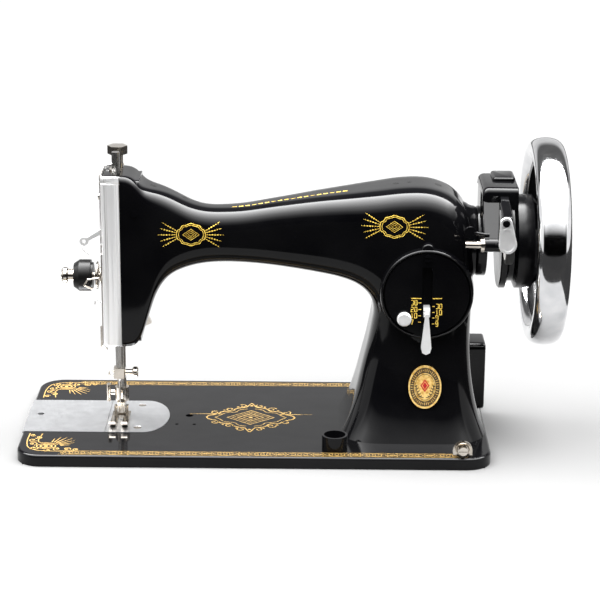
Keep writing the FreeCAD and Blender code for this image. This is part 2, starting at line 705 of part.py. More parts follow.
def make_needle():
    """Shank in the clamp, thinner blade below, cone point."""
    shank = cyl(1.0, 9.5, (needle_x, needle_y, clamp_z - 1.5))
    taper = cone(0.42, 1.0, 1.6, (needle_x, needle_y, clamp_z - 3.1))
    blade = cyl(0.42, 21.5, (needle_x, needle_y, clamp_z - 24.6))
    point = cone(0.05, 0.42, 2.4, (needle_x, needle_y, clamp_z - 27.0))
    return fuse([shank, taper, blade, point])


# ---------------------------------------------------------------- take-up lever
lever_y = -17.2
take_up_reach = 40.0
take_up_drop = 23.4


def make_take_up_lever():
    thick = 2.4
    y0 = lever_y - thick / 2
    eye_x = stud_x - take_up_reach
    eye_z = stud_z - take_up_drop
    hub = cyl(5.2, thick, (stud_x, y0, stud_z), Y_AXIS)
    slope = math.hypot(take_up_reach, take_up_drop)
    nx, nz = take_up_drop / slope, -take_up_reach / slope
    arm = prism([(stud_x + 3.2 * nx, stud_z + 3.2 * nz), (stud_x - 3.2 * nx, stud_z - 3.2 * nz),
                 (eye_x - 1.1 * nx, eye_z - 1.1 * nz), (eye_x + 1.1 * nx, eye_z + 1.1 * nz)],
                lambda u, v: V(u, y0, v), (0, thick, 0))
    eye = cyl(3.4, thick, (eye_x, y0, eye_z), Y_AXIS)
    short = prism([(stud_x - 2.2, stud_z), (stud_x + 2.2, stud_z), (stud_x + 2.0, stud_z - 7),
                   (stud_x - 2.0, stud_z - 7)],
                  lambda u, v: V(u, y0, v), (0, thick, 0))
    roller = cyl(1.9, thick + 3.0, (stud_x, y0, stud_z - 7), Y_AXIS)
    lever = fuse([hub, arm, eye, short, roller])
    lever = lever.cut(cyl(stud_r + bar_fit, 10, (stud_x, y0 - 3, stud_z), Y_AXIS))
    return lever.cut(cyl(1.5, 10, (eye_x, y0 - 3, eye_z), Y_AXIS))


def make_take_up_stud():
    """Shouldered hinge screw through the head's front wall."""
    start = -head_half_depth - 0.2
    body = cyl(stud_r, head_half_depth + lever_y + 4.0, (stud_x, start, stud_z), Y_AXIS)
    keeper = cyl(4.0, 1.2, (stud_x, lever_y + 1.2 + gap, stud_z), Y_AXIS)
    return fuse([body, keeper])


# ---------------------------------------------------------------- presser
shank_top = bed_top + 23.0
foot_top = bed_top + 11.5
guide_z = head_bottom + 70.0
spring_top = head_top - 2 - shelf_thickness - presser_lift - 1.0


def make_presser_bar():
    bar = cyl(presser_bar_r, guide_z + 20 - foot_top, (needle_x, presser_y, foot_top + 1.0))
    thin = cyl(2.6, head_top - 8 - guide_z - 20, (needle_x, presser_y, guide_z + 19))
    return fuse([bar, thin])


def make_presser_guide():
    """The collar clamped on the bar, whose finger the lifter raises."""
    collar = tube(6.4, presser_bar_r, 9.0, (needle_x, presser_y, lifter_z + 6.0))
    finger = box(needle_x + 5.2, lifter_x + 3.0, presser_y + 1.0, presser_y + 9.5,
                 lifter_z + 5.2, lifter_z + 9.0)
    return fuse([collar, finger])


def make_presser_spring():
    bottom = lifter_z + 15.0
    return tube(5.6, 4.2, spring_top - bottom, (needle_x, presser_y, bottom))


def make_pressure_screw():
    """Six-sided head and threaded sleeve; its bore lets the bar's top rise inside."""
    base = head_top - 2 - shelf_thickness
    top = head_top + 18.6
    head = prism([(needle_x + 7.9 * math.cos(math.radians(a)), presser_y + 7.9 * math.sin(math.radians(a)))
                  for a in range(0, 360, 60)], lambda u, v: V(u, v, top - 6.6), (0, 0, 6.6))
    screw = fuse([head, cyl(screw_r, top - 5 - base, (needle_x, presser_y, base))])
    return screw.cut(cyl(3.3, top - 8 - base, (needle_x, presser_y, base - 1)))


def make_pressure_nut():
    return tube(nut_r, screw_r + bar_fit, 1.8, (needle_x, presser_y, head_top - 2))


def make_foot_shank():
    """The foot's clamp on the bar, with a fork below for the hinged sole."""
    barrel = cyl(5.6, shank_top - foot_top, (needle_x, presser_y, foot_top))
    neck = slab(needle_x - 3.4, needle_x + 3.4, needle_y + 5.6, presser_y + 4,
                bed_top + 3.9, foot_top + 1, 1.5)
    shank = fuse([barrel, neck]).cut(cyl(presser_bar_r, 40, (needle_x, presser_y, foot_top + 1.0)))
    shank = shank.cut(cyl(1.5, 20, (needle_x - 12, presser_y, shank_top - 5), X_AXIS))
    return shank.cut(cyl(1.2 + bar_fit, 30, (needle_x - 15, hinge_y, hinge_z), X_AXIS))


hinge_y = needle_y + 8.6
hinge_z = bed_top + 7.0


def make_foot_sole():
    """Two toes with turned-up tips, joined behind the needle, ears up to the hinge pin."""
    bottom = plate_top + 0.15
    toes = []
    for side in (-1, 1):
        x0 = needle_x + side * 4.75 - 2.5
        toes.append(box(x0, x0 + 5.0, needle_y - 17, needle_y + 4.5, bottom, bottom + 2.0))
        tip = prism([(needle_y - 17, bottom), (needle_y - 17, bottom + 2.0), (needle_y - 23.5, bottom + 6.4),
                     (needle_y - 24.5, bottom + 4.8)], lambda u, v: V(x0, u, v), (5.0, 0, 0))
        toes.append(tip)
        ear_x = needle_x + side * (3.4 + gap) + (side - 1) * 1.0
        toes.append(box(ear_x, ear_x + 2.0, hinge_y - 2.6, hinge_y + 2.6, bottom + 1, hinge_z + 2.4))
    heel = prism([(needle_y + 3.0, bottom), (hinge_y - 0.5, bottom), (hinge_y + 4.5, bottom + 1.2),
                  (hinge_y + 4.5, bottom + 2.4), (needle_y + 3.0, bottom + 2.0)],
                 lambda u, v: V(needle_x - 7.25, u, v), (14.5, 0, 0))
    pin = cyl(1.2, 10.4, (needle_x - 5.2, hinge_y, hinge_z), X_AXIS)
    return fuse(toes + [heel, pin])


def make_foot_screw():
    """Thumb screw on the foot's left, with a flat wing head."""
    z = shank_top - 5
    start = needle_x - 5.6 - gap
    stem = cyl(2.2, 3.4, (start - 3.4, presser_y, z), X_AXIS)
    tip = cyl(1.4, 1.8, (start - 0.2, presser_y, z), X_AXIS)
    wing = slab(start - 6.4, start - 3.2, presser_y - 3.0, presser_y + 3.0, z - 7.0, z + 7.0, 1.4)
    return fuse([stem, tip, wing])


def make_presser_lifter():
    """Cam inside the head, pin through its back wall, curved handle behind."""
    back = head_half_depth
    pin = cyl(lifter_pin_r, back + 6 - 13.2, (lifter_x, 13.2, lifter_z), Y_AXIS)
    cam = cyl(5.0, 4.0, (lifter_x, 13.2, lifter_z - 0.4), Y_AXIS)
    handle = prism([(-4.5, 3), (4.5, 3), (5.5, -22), (14, -40), (8, -43), (-1.5, -24)],
                   lambda u, v: V(lifter_x + u, back + 1.0, lifter_z + v), (0, 5.0, 0))
    return fuse([pin, cam, handle])


# ---------------------------------------------------------------- tension unit on the face plate
def make_tension_stud():
    left = tension_x - 33.0
    return cyl(2.4, tension_x + 5.0 - left, (left, 0, tension_z), X_AXIS).fuse(
        cyl(4.2, 3.0, (tension_x + 1.6, 0, tension_z), X_AXIS))


def make_tension_discs():
    """Two dished discs pressed together on the stud."""
    out = []
    for start, flip in ((tension_x - 5.4, 1), (tension_x - 3.4, -1)):
        profile = [(0, 2.5), (0, 8), (flip * 0.9, 11), (flip * 0.9 + 0.8, 11), (0.8, 8), (0.8, 2.5)]
        out.append(lathe(profile, (start, 0, tension_z), X_AXIS))
    return Part.Compound(out)


def make_tension_dial():
    profile = [(0, 2.5), (0, 9.6), (4.4, 12.6), (13.4, 12.6), (13.4, 10.4), (15.2, 10.4), (15.2, 2.5)]
    return lathe(profile, (tension_x - 22.6, 0, tension_z), X_AXIS)


def make_tension_nut():
    profile = [(0, 2.5), (0, 4.8), (1.6, 6.2), (4.0, 6.2), (5.2, 4.8), (9.2, 4.8), (9.2, 2.5)]
    return lathe(profile, (tension_x - 32.4, 0, tension_z), X_AXIS)


def make_check_spring():
    """The thin wire that takes up slack: a coil seat on the stud and one long bent leg."""
    x = tension_x - 1.4
    ring = Part.makeTorus(6.0, 0.6, V(x, 0, tension_z), V(1, 0, 0))
    leg = rod([(x, -6.0, tension_z), (x - 0.4, -13.5, tension_z + 1.5), (x - 9.0, -15.5, tension_z + 1),
               (x - 12.0, -15.5, tension_z - 4), (x - 4.0, -14.0, tension_z - 8)], 0.6)
    return fuse([ring, leg])


def make_thread_guides():
    """Bent wire below the take-up eye and the small guide under the tension."""
    z = stud_z - take_up_drop - 10.0
    y = lever_y
    x = stud_x - take_up_reach
    hook = rod([(face_left + 0.8, y, z - 1.2), (x + 4.5, y, z - 1.0), (x + 1.0, y, z + 1.4),
                (x - 1.6, y, z + 4.6)], 0.8).cut(make_face_plate())
    low = rod([(face_left - 0.03, -6, tension_z - 20.5), (face_left - 5.5, -6, tension_z - 20.5),
               (face_left - 5.5, -10, tension_z - 20.5)], 0.9)
    return Part.Compound([hook, low])


# ---------------------------------------------------------------- hand wheel
def make_hand_wheel():
    """Hub with belt groove, three broad spokes and the ring that the chromed rim sits on."""
    hub_left = neck_end + 17.5
    left = 0.0
    groove = [(left, shaft_r + shaft_fit), (left, belt_flange_r - 1), (1, belt_flange_r),
              (5.0, belt_flange_r),
              (7.2, belt_groove_r), (11.0, belt_groove_r), (13.4, belt_flange_r), (26.0, belt_flange_r),
              (30.0, belt_flange_r - 6), (wheel_left + 18 - hub_left, 22),
               (wheel_left + 18 - hub_left, shaft_r + shaft_fit)]
    hub = lathe(groove, (hub_left, 0, shaft_z), X_AXIS)
    seat_r = wheel_r - wheel_rim_depth
    ring = tube(seat_r, seat_r - 5, 14, (wheel_left + 5, 0, shaft_z), X_AXIS)
    spokes = []
    for turn in (30, 150, 270):
        spoke = box(wheel_left + 6, wheel_left + 15, -13, 13, belt_flange_r - 10, seat_r - 2)
        spoke.rotate(V(0, 0, 0), V(1, 0, 0), turn)
        spoke.translate(V(0, 0, shaft_z))
        spokes.append(spoke)
    return fuse([hub, ring] + spokes)


def make_wheel_rim():
    """The chromed rim: flat inside, well rounded outside."""
    inner = wheel_r - wheel_rim_depth
    half = wheel_rim_width / 2
    start = V(wheel_mid - half + 3, 0, shaft_z + inner)
    a = V(wheel_mid - half, 0, shaft_z + inner + 4.5)
    b = V(wheel_mid, 0, shaft_z + wheel_r)
    c = V(wheel_mid + half, 0, shaft_z + inner + 4.5)
    end = V(wheel_mid + half - 3, 0, shaft_z + inner)
    edges = [Part.makeLine(start, a), Part.Arc(a, b, c).toShape(), Part.makeLine(c, end),
             Part.makeLine(end, start)]
    face = Part.Face(Part.Wire(edges))
    return face.revolve(V(0, 0, shaft_z), V(1, 0, 0), 360)


def make_clutch_knob():
    """Stop-motion knob: a milled nut screwed on the shaft's end."""
    knob = lathe([(0, shaft_r + 0.1), (0, 19), (1.5, 20), (7.5, 20), (9.5, 17.5), (9.5, shaft_r + 0.1)],
                 (clutch_left, 0, shaft_z), X_AXIS)
    for n in range(24):
        a = math.radians(n * 15)
        at = (clutch_left - 1, 20.6 * math.cos(a), shaft_z + 20.6 * math.sin(a))
        knob = knob.cut(cyl(1.1, 10, at, X_AXIS))
    return knob


def make_bushings():
    out = []
    for x, length in ((bush_left_x, web_right - bush_left_x), (bush_right_x, neck_end - bush_right_x)):
        out.append(tube(shaft_r + bush_wall, shaft_r + shaft_fit, length, (x, 0, shaft_z), X_AXIS))
    return Part.Compound(out)


# ---------------------------------------------------------------- bobbin winder
winder_y = -math.sqrt((belt_flange_r + tyre_gap + tyre_r) ** 2 - 11.0 ** 2)
winder_z = shaft_z + 11.0
spindle_r = 2.9
cover_left = neck_end + 1.5
cover_right = neck_end + 29.5
cover_top = shaft_z + 49.0
cover_bottom = shaft_z + belt_flange_r + 2.2
winder_arm_left = cover_left + 1.0
winder_arm_right = cover_left + 13.0
tyre_left = neck_end + 18.0
pivot_y = -26.0
pivot_z = cover_bottom + 4.0


def make_winder_bracket():
    """Collar on the arm's neck, and the belt guard that reaches over the wheel's hub."""
    collar = tube(neck_r - 0.4, shaft_r + 6, 7.5, (neck_end, 0, shaft_z), X_AXIS)
    post = box(cover_left, cover_left + 6, -16, 12, shaft_z + 20, cover_top - 3)
    front_y = -33.0
    guard = prism([(cover_left, cover_bottom), (cover_right, cover_bottom), (cover_right, cover_top),
                   (cover_left + 9, cover_top), (cover_left, cover_top - 8)],
                  lambda u, v: V(u, front_y, v), (0, 51, 0))
    top = slab(cover_left + 9.5, cover_right - 0.5, -8, 16, cover_top - 1, cover_top + 4.5, 3)
    bracket = fuse([collar, post, guard, top])
    bracket = bracket.cut(box(winder_arm_left - gap, winder_arm_right + gap, front_y - 1, -17,
                              cover_bottom - 1, cover_bottom + 8.5))
    bracket = bracket.cut(cyl(2.0, 60, (cover_left - 5, pivot_y, pivot_z), X_AXIS))
    pivot = cyl(2.0, cover_right - cover_left - 1, (cover_left + 0.5, pivot_y, pivot_z), X_AXIS)
    return Part.Compound([bracket, pivot, make_latch_post()])


def make_winder_arm():
    """Swinging arm with the spindle's long bearing boss."""
    wide = winder_arm_right - winder_arm_left
    top = cyl(4.0, wide, (winder_arm_left, pivot_y, pivot_z), X_AXIS)
    web = prism([(pivot_y - 3.6, pivot_z + 1), (pivot_y + 3.2, pivot_z - 2.5), (winder_y + 4, winder_z - 3),
                 (winder_y - 5, winder_z + 1)],
                lambda u, v: V(winder_arm_left, u, v), (wide, 0, 0))
    boss = cyl(5.4, wide, (winder_arm_left, winder_y, winder_z), X_AXIS)
    arm = fuse([top, web, boss])
    arm = arm.cut(cyl(2.0 + bar_fit, 60, (winder_arm_left - 20, pivot_y, pivot_z), X_AXIS))
    arm = arm.cut(cyl(spindle_r + bar_fit, 60, (winder_arm_left - 20, winder_y, winder_z), X_AXIS))
    return Part.Compound([arm, make_winder_finger()])


def make_winder_spindle():
    tip = winder_arm_left - 14.5
    body = cyl(spindle_r, tyre_left + 8.5 - tip, (tip, winder_y, winder_z), X_AXIS)
    flange = cyl(5.6, 2.6, (winder_arm_left - gap - 2.6, winder_y, winder_z), X_AXIS)
    pulley = tube(tyre_r - 3.5, spindle_r, 6.5, (tyre_left, winder_y, winder_z), X_AXIS)
    return Part.Compound([fuse([body, flange]), pulley])


def make_winder_tyre():
    ring = tube(tyre_r, tyre_r - 3.5, 6.5, (tyre_left, winder_y, winder_z), X_AXIS)
    rims = [e for e in ring.Edges if abs(e.BoundBox.ZLength - 2 * tyre_r) < 0.2]
    return ring.makeFillet(1.6, rims)


latch_y = winder_y - tyre_r - 4.2
latch_x = tyre_left - 1.2
latch_top_z = winder_z + 22.0


def make_winder_latch():
    """Drop-shaped finger plate hung on its screw in front of the tyre."""
    low_z = latch_top_z - 22.5
    plate = fuse([
        cyl(4.6, 2.0, (latch_x, latch_y, latch_top_z), Y_AXIS),
        cyl(7.4, 2.0, (latch_x + 2.0, latch_y, low_z), Y_AXIS),
        prism([(latch_x - 4.6, latch_top_z), (latch_x + 4.6, latch_top_z), (latch_x + 9.3, low_z + 1),
               (latch_x - 5.3, low_z + 1)],
              lambda u, v: V(u, latch_y, v), (0, 2.0, 0)),
    ])
    return plate.cut(cyl(1.9 + bar_fit, 10, (latch_x, latch_y - 4, latch_top_z), Y_AXIS))


def make_latch_post():
    """The black strut from the guard that carries the finger plate's screw."""
    strut = prism([(pivot_y - 7, cover_top - 4), (pivot_y - 7, cover_bottom), (latch_y + 2.4, latch_top_z - 4),
                   (latch_y + 2.4, latch_top_z + 4)],
                  lambda u, v: V(winder_arm_right + gap, u, v), (7.0, 0, 0))
    pin = cyl(1.9, 8.0, (latch_x, latch_y - 0.8, latch_top_z), Y_AXIS)
    cap = cyl(2.8, 0.8, (latch_x, latch_y - 1.1, latch_top_z), Y_AXIS)
    return fuse([strut, pin, cap])


def make_winder_finger():
    """Stop finger beside the bobbin: a round tab on a short stem held in the arm's boss."""
    z = winder_z + 9.5
    x = winder_arm_left - 11.0
    tab = cyl(4.8, 2.0, (x, winder_y - 1.0, z), Y_AXIS)
    stem = rod([(x + 3, winder_y, z), (winder_arm_left, winder_y, winder_z + 8.0)], 1.3)
    seat = cyl(1.3, 4.0, (winder_arm_left - 0.4, winder_y, winder_z + 8.0), X_AXIS)
    return fuse([tab, stem, seat])


# ---------------------------------------------------------------- bobbin-winding tension on the bed
guide_x = right_end - 23.0
guide_y = -bed_width / 2 + 5.2


def make_bed_tension_bracket():
    plate = fuse([
        box(guide_x - 7.5, guide_x + 7.5, guide_y, guide_y + 1.8, bed_top, bed_top + 5),
        cyl(7.5, 1.8, (guide_x, guide_y, bed_top + 5), Y_AXIS),
        box(guide_x - 7.5, guide_x + 7.5, guide_y, guide_y + 9.5, bed_top, bed_top + 1.6),
    ]).common(box(guide_x - 20, guide_x + 20, guide_y - 20, guide_y + 20, bed_top, bed_top + 40))
    return plate.cut(cyl(1.5, 10, (guide_x, guide_y - 4, bed_top + 6.4), Y_AXIS))


def make_bed_tension_discs():
    out = []
    for start in (guide_y - 2.0, guide_y - 3.8):
        profile = [(0, 1.6), (0, 4.2), (-0.7, 6.2), (-0.1, 6.2), (0.6, 4.2), (0.6, 1.6)]
        out.append(lathe(profile, (guide_x, start + 1.0, bed_top + 5.4 + 1.0), Y_AXIS))
    return Part.Compound(out)


def make_bed_tension():
    """Upright bracket on the bed, two dished discs and the screw that presses them."""
    at = (guide_x, guide_y - 4.6, bed_top + 6.4)
    screw = slotted_screw(3.4, 2.0, at, (0, -1, 0), 1.45, 9.5)
    return Part.Compound([make_bed_tension_bracket(), make_bed_tension_discs(), screw])


def make_feed_knob():
    """Cupped knob that drops the feed dog; its stem turns in the bed."""
    cup = cyl(10.0, 11.5, (knob_x, knob_y, bed_top + gap)).cut(
        cyl(8.4, 8.0, (knob_x, knob_y, bed_top + gap + 5.0)))
    stem = cyl(knob_stem_r, bed_top + gap + 9.0, (knob_x, knob_y, -7.7))
    pointer = box(knob_x - 1.5, knob_x + 12, knob_y - 2.5, knob_y + 2.5, -7.7, -4.0)
    return fuse([cup, stem, pointer])


# ---------------------------------------------------------------- rods down the pillar
lever_len_y = -needle_y
rod_low_z = hook_z + hook_crank_throw
fork_low_z = bed_top - 12.0


def make_connecting_rod():
    """Big end on the crank pin, long flat shank, small end beside the hook shaft's lever."""
    x0 = crank_x + 1.0
    wide = crank_w - 2.0
    top = (x0, 0, shaft_z + hook_crank_throw)
    low = (x0, 0, rod_low_z)
    shank = box(x0 + 2.5, x0 + wide - 2.5, -4, 4, rod_low_z, top[2])
    body = fuse([cyl(8.5, wide, top, X_AXIS), cyl(6.5, wide - 5, (x0 + 2.5, 0, rod_low_z), X_AXIS), shank])
    body = body.cut(cyl(4.5 + bar_fit, 40, (x0 - 10, 0, top[2]), X_AXIS))
    return body.cut(cyl(3.4, 40, (low[0] - 10, 0, rod_low_z), X_AXIS))


def make_feed_fork():
    """Rod forked over the eccentric, turning on a pin low in the pillar."""
    clear = ecc_r + 0.75
    x0 = ecc_x
    block = box(x0, x0 + ecc_w, ecc_throw - clear - 4, ecc_throw + clear + 4, shaft_z - 21, shaft_z + 9)
    slot = box(x0 - 1, x0 + ecc_w + 1, ecc_throw - clear, ecc_throw + clear, shaft_z - 12.5, shaft_z + 20)
    shank = box(x0 + 0.5, x0 + ecc_w - 0.5, -4, 4, fork_low_z, shaft_z - 20)
    eye = cyl(6.0, ecc_w, (x0, 0, fork_low_z), X_AXIS)
    fork = fuse([block.cut(slot), shank, eye])
    return fork.cut(cyl(2.5 + bar_fit, 30, (x0 - 10, 0, fork_low_z), X_AXIS))


def make_feed_shaft():
    """Feed rock shaft: a crank by the fork with the fork's pin, and a finger by the feed bar."""
    left = feed_lug_x - 12.0
    right = ecc_x - 1.0
    shaft = cyl(feed_shaft_r, right - left, (left, feed_shaft_y, feed_shaft_z), X_AXIS)
    arm = box(ecc_x - 7.0, ecc_x - gap, -5, feed_shaft_y, feed_shaft_z - 5, feed_shaft_z + 5)
    pin = cyl(2.5, ecc_w + 3, (ecc_x - 2, 0, fork_low_z), X_AXIS)
    rise = box(ecc_x - 7.0, ecc_x - gap, -5, 5, feed_shaft_z - 5, fork_low_z + 5)
    finger = box(left, left + 7, feed_shaft_y - 8, feed_shaft_y + 4, feed_shaft_z - 4, feed_shaft_z + 4)
    return fuse([shaft, arm, rise, pin, finger])


# ---------------------------------------------------------------- hook, race, bobbin
hook_disc_left = needle_x + 1.6


def make_hook_race():
    """Race ring bolted to the bed's lug, with a slot on top for the needle."""
    ring = tube(race_outer_r, race_inner_r, hook_wall_x - needle_x + 4.0,
                (needle_x - 4.0, needle_y, hook_z), X_AXIS)
    floor_plate = tube(race_outer_r, rock_shaft_r + 3, 2.0, (hook_wall_x - 2.0, needle_y, hook_z), X_AXIS)
    race = fuse([ring, floor_plate])
    race = race.cut(box(needle_x - 2.2, needle_x + 2.2, needle_y - 3.5, needle_y + 3.5,
                        hook_z + 8, hook_z + race_outer_r + 2))
    cover = tube(race_outer_r, 12.0, 1.8, (needle_x - 5.8, needle_y, hook_z), X_AXIS)
    return Part.Compound([race, cover])


def sector_cut(outer, x0, x1, start, end):
    """A wedge from angle start to end about the hook's axis, degrees from +Y towards +Z."""
    steps = max(2, int((end - start) / 30) + 1)
    angles = [math.radians(start + (end - start) * i / steps) for i in range(steps + 1)]
    far = outer * 2.0
    points = [(0, 0)] + [(far * math.cos(a), far * math.sin(a)) for a in angles]
    return prism(points, lambda u, v: V(x0, needle_y + u, hook_z + v), (x1 - x0, 0, 0))


def make_hook():
    """Shuttle hook: a disc, a long curved wall, its tapered point and the bobbin post."""
    outer = race_inner_r - hook_fit
    disc = cyl(11.0, 2.4, (hook_disc_left, needle_y, hook_z), X_AXIS)
    wall = tube(outer, outer - 2.7, 7.2, (needle_x - 3.6, needle_y, hook_z), X_AXIS)
    wall = wall.cut(sector_cut(outer, needle_x - 10, needle_x + 10, 15.0, 240.0))
    back = cyl(outer, 2.4, (hook_disc_left, needle_y, hook_z), X_AXIS)
    back = back.cut(sector_cut(outer, hook_disc_left - 1, hook_disc_left + 4, 15.0, 240.0))
    post = cyl(2.4, bobbin_width + 4.2, (hook_disc_left - bobbin_width - 3.6, needle_y, hook_z), X_AXIS)
    return fuse([disc, wall, back, post])


def make_hook_shaft():
    """Rock shaft with the driver at the hook and the lever that the connecting rod swings."""
    left = hook_disc_left + 2.4
    right = crank_x + 3.5 - gap
    shaft = cyl(rock_shaft_r, right - left, (left, needle_y, hook_z), X_AXIS)
    driver = box(left + 0.2, left + 3.2, needle_y - 12, needle_y + 12, hook_z - 3, hook_z + 3)
    length = math.hypot(lever_len_y, hook_crank_throw)
    uy, uz = lever_len_y / length, hook_crank_throw / length
    bar = prism([(-4.5 * uz, 4.5 * uy), (4.5 * uz, -4.5 * uy),
                 (lever_len_y + 4.5 * uz, hook_crank_throw - 4.5 * uy),
                 (lever_len_y - 4.5 * uz, hook_crank_throw + 4.5 * uy)],
                lambda u, v: V(right - 6, needle_y + u, hook_z + v), (6.0, 0, 0))
    boss = cyl(8.5, 6.0, (right - 6, needle_y, hook_z), X_AXIS)
    end = cyl(5.5, 6.0, (right - 6, 0, rod_low_z), X_AXIS)
    return fuse([shaft, driver, bar, boss, end])


case_left = needle_x - 2.2 - bobbin_width - 1.4


def make_bobbin_case():
    """Cup that holds the bobbin, its centre tube, latch and locating finger."""
    wall = tube(11.4, 10.6, bobbin_width + 1.4, (case_left, needle_y, hook_z), X_AXIS)
    end = tube(11.4, 2.5, 1.0, (case_left, needle_y, hook_z), X_AXIS)
    hub = tube(2.95, 2.5, bobbin_width, (case_left, needle_y, hook_z), X_AXIS)
    latch = box(case_left - 1.2, case_left, needle_y + 3.2, needle_y + 10.5, hook_z - 2.5, hook_z + 2.5)
    finger = box(needle_x - 7.4, needle_x - 5.8, needle_y - 2, needle_y + 2, hook_z - 16.5, hook_z - 11.0)
    return fuse([wall, end, hub, latch, finger])


def make_bobbin():
    left = case_left + 1.2
    flange = 0.9
    parts = [tube(bobbin_r, 3.05, flange, (left, needle_y, hook_z), X_AXIS),
             tube(bobbin_r, 3.05, flange, (left + bobbin_width - flange, needle_y, hook_z), X_AXIS),
             tube(4.2, 3.05, bobbin_width, (left, needle_y, hook_z), X_AXIS)]
    return fuse(parts)


# ---------------------------------------------------------------- feed
dog_front = 8.0
dog_back = 9.0
feed_travel = 2.5
feed_drop = 2.0
bar_y = 14.5
bar_half = 4.0


def dog_rows():
    return [(needle_x - 6.0, needle_x - 2.6), (needle_x + 2.6, needle_x + 6.0)]


def make_feed_dog():
    """Two rows of teeth on one foot, below the plate's top at rest."""
    top = plate_top - 0.5
    foot_top_z = plate_bottom - 0.9
    foot = box(needle_x - 6.0, needle_x + 6.0, needle_y + 3.0, needle_y + dog_back,
               foot_top_z - 1.6, foot_top_z)
    rows = []
    for x0, x1 in dog_rows():
        rows.append(box(x0, x1, needle_y - dog_front, needle_y + dog_back, foot_top_z - 1.6, top - 1.0))
        count = 9
        pitch = (dog_front + dog_back) / count
        for n in range(count):
            y0 = needle_y - dog_front + n * pitch
            rows.append(prism([(y0, top - 1.05), (y0 + pitch, top - 1.05), (y0 + pitch * 0.8, top)],
                              lambda u, v: V(x0, u, v), (x1 - x0, 0, 0)))
    return fuse([foot] + rows)


def make_feed_bar():
    """Bar behind the hook shaft; its cranked tongue carries the feed dog."""
    top = plate_bottom - 2.5
    bar_top_z = bed_top - bed_skin - feed_drop + 0.2
    right = feed_lug_x - 16.0
    left = hook_wall_x - 8.0
    bar = box(left, right, bar_y - bar_half, bar_y + bar_half, bar_top_z - 7.0, bar_top_z)
    rise = box(left, hook_wall_x - 1.0, bar_y - bar_half, bar_y + bar_half, bar_top_z - 1, top)
    tongue = box(needle_x - 6.0, hook_wall_x - 1.0, needle_y + 4.0, bar_y + bar_half, top - 1.6, top)
    return fuse([bar, rise, tongue])


def make_feed_lift():
    """Slide under the feed bar: it lifts or drops the bar on its upright pin."""
    bar_top_z = bed_top - bed_skin - feed_drop + 0.2
    seat = bar_top_z - 7.0 - gap
    plate = box(lift_x - 7, lift_x + 7, lift_y - 5, bar_y + bar_half + 3.5, seat - 5, seat)
    pin = cyl(lift_pin_r, bed_top - bed_skin - 0.5 - (seat - 3), (lift_x, lift_y, seat - 3))
    return fuse([plate, pin])


# ---------------------------------------------------------------- every sub-part
NODES = {
    "bed": make_bed,
    "arm": make_arm,
    "arm_bolts": make_arm_bolts,
    "needle_plate": make_needle_plate,
    "slide_plate": make_slide_plate,
    "plate_screws": make_plate_screws,
    "face_plate": make_face_plate,
    "face_plate_screws": make_face_screws,
    "rear_cover": make_rear_cover,
    "stitch_plate": make_stitch_plate,
    "stitch_plate_screws": make_stitch_plate_screws,
    "stitch_lever": make_stitch_lever,
    "stitch_stop_knob": make_stop_knob,
    "badge": make_badge,
    "arm_shaft": make_arm_shaft,
    "shaft_bushings": make_bushings,
    "needle_crank": make_needle_crank,
    "needle_link": make_needle_link,
    "needle_bar": make_needle_bar,
    "needle_clamp": make_needle_clamp,
    "needle_clamp_screw": make_clamp_screw,
    "needle": make_needle,
    "take_up_lever": make_take_up_lever,
    "take_up_stud": make_take_up_stud,
    "presser_bar": make_presser_bar,
    "presser_guide": make_presser_guide,
    "presser_spring": make_presser_spring,
    "pressure_screw": make_pressure_screw,
    "pressure_nut": make_pressure_nut,
    "foot_shank": make_foot_shank,
    "foot_sole": make_foot_sole,
    "foot_screw": make_foot_screw,
    "presser_lifter": make_presser_lifter,
    "tension_stud": make_tension_stud,
    "tension_discs": make_tension_discs,
    "tension_dial": make_tension_dial,
    "tension_nut": make_tension_nut,
    "check_spring": make_check_spring,
    "thread_guides": make_thread_guides,
    "hand_wheel": make_hand_wheel,
    "wheel_rim": make_wheel_rim,
    "clutch_knob": make_clutch_knob,
    "winder_bracket": make_winder_bracket,
    "winder_arm": make_winder_arm,
    "winder_spindle": make_winder_spindle,
    "winder_tyre": make_winder_tyre,
    "winder_latch": make_winder_latch,
    "bed_tension": make_bed_tension,
    "feed_knob": make_feed_knob,
    "connecting_rod": make_connecting_rod,
    "feed_fork": make_feed_fork,
    "feed_shaft": make_feed_shaft,
    "hook_race": make_hook_race,
    "hook": make_hook,
    "hook_shaft": make_hook_shaft,
    "bobbin_case": make_bobbin_case,
    "bobbin": make_bobbin,
    "feed_dog": make_feed_dog,
    "feed_bar": make_feed_bar,
    "feed_lift": make_feed_lift,
}

os.makedirs("parts", exist_ok=True)
for name, make in NODES.items():
    shape = make()
    shape.exportStep("parts/" + name + ".step")
print(len(NODES), "sub-parts written")
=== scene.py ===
# %% [markdown]
# # A flat-bed sewing machine head in gloss black enamel
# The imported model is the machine's frame: every body, joint and size comes from it. This file
# dresses it. The castings, the chromed parts and the gold transfers are worked out as curved
# surfaces with numpy, and the small turned parts keep their own solids with better finishes.

# %% Load the frame and keep its box
import json
import math

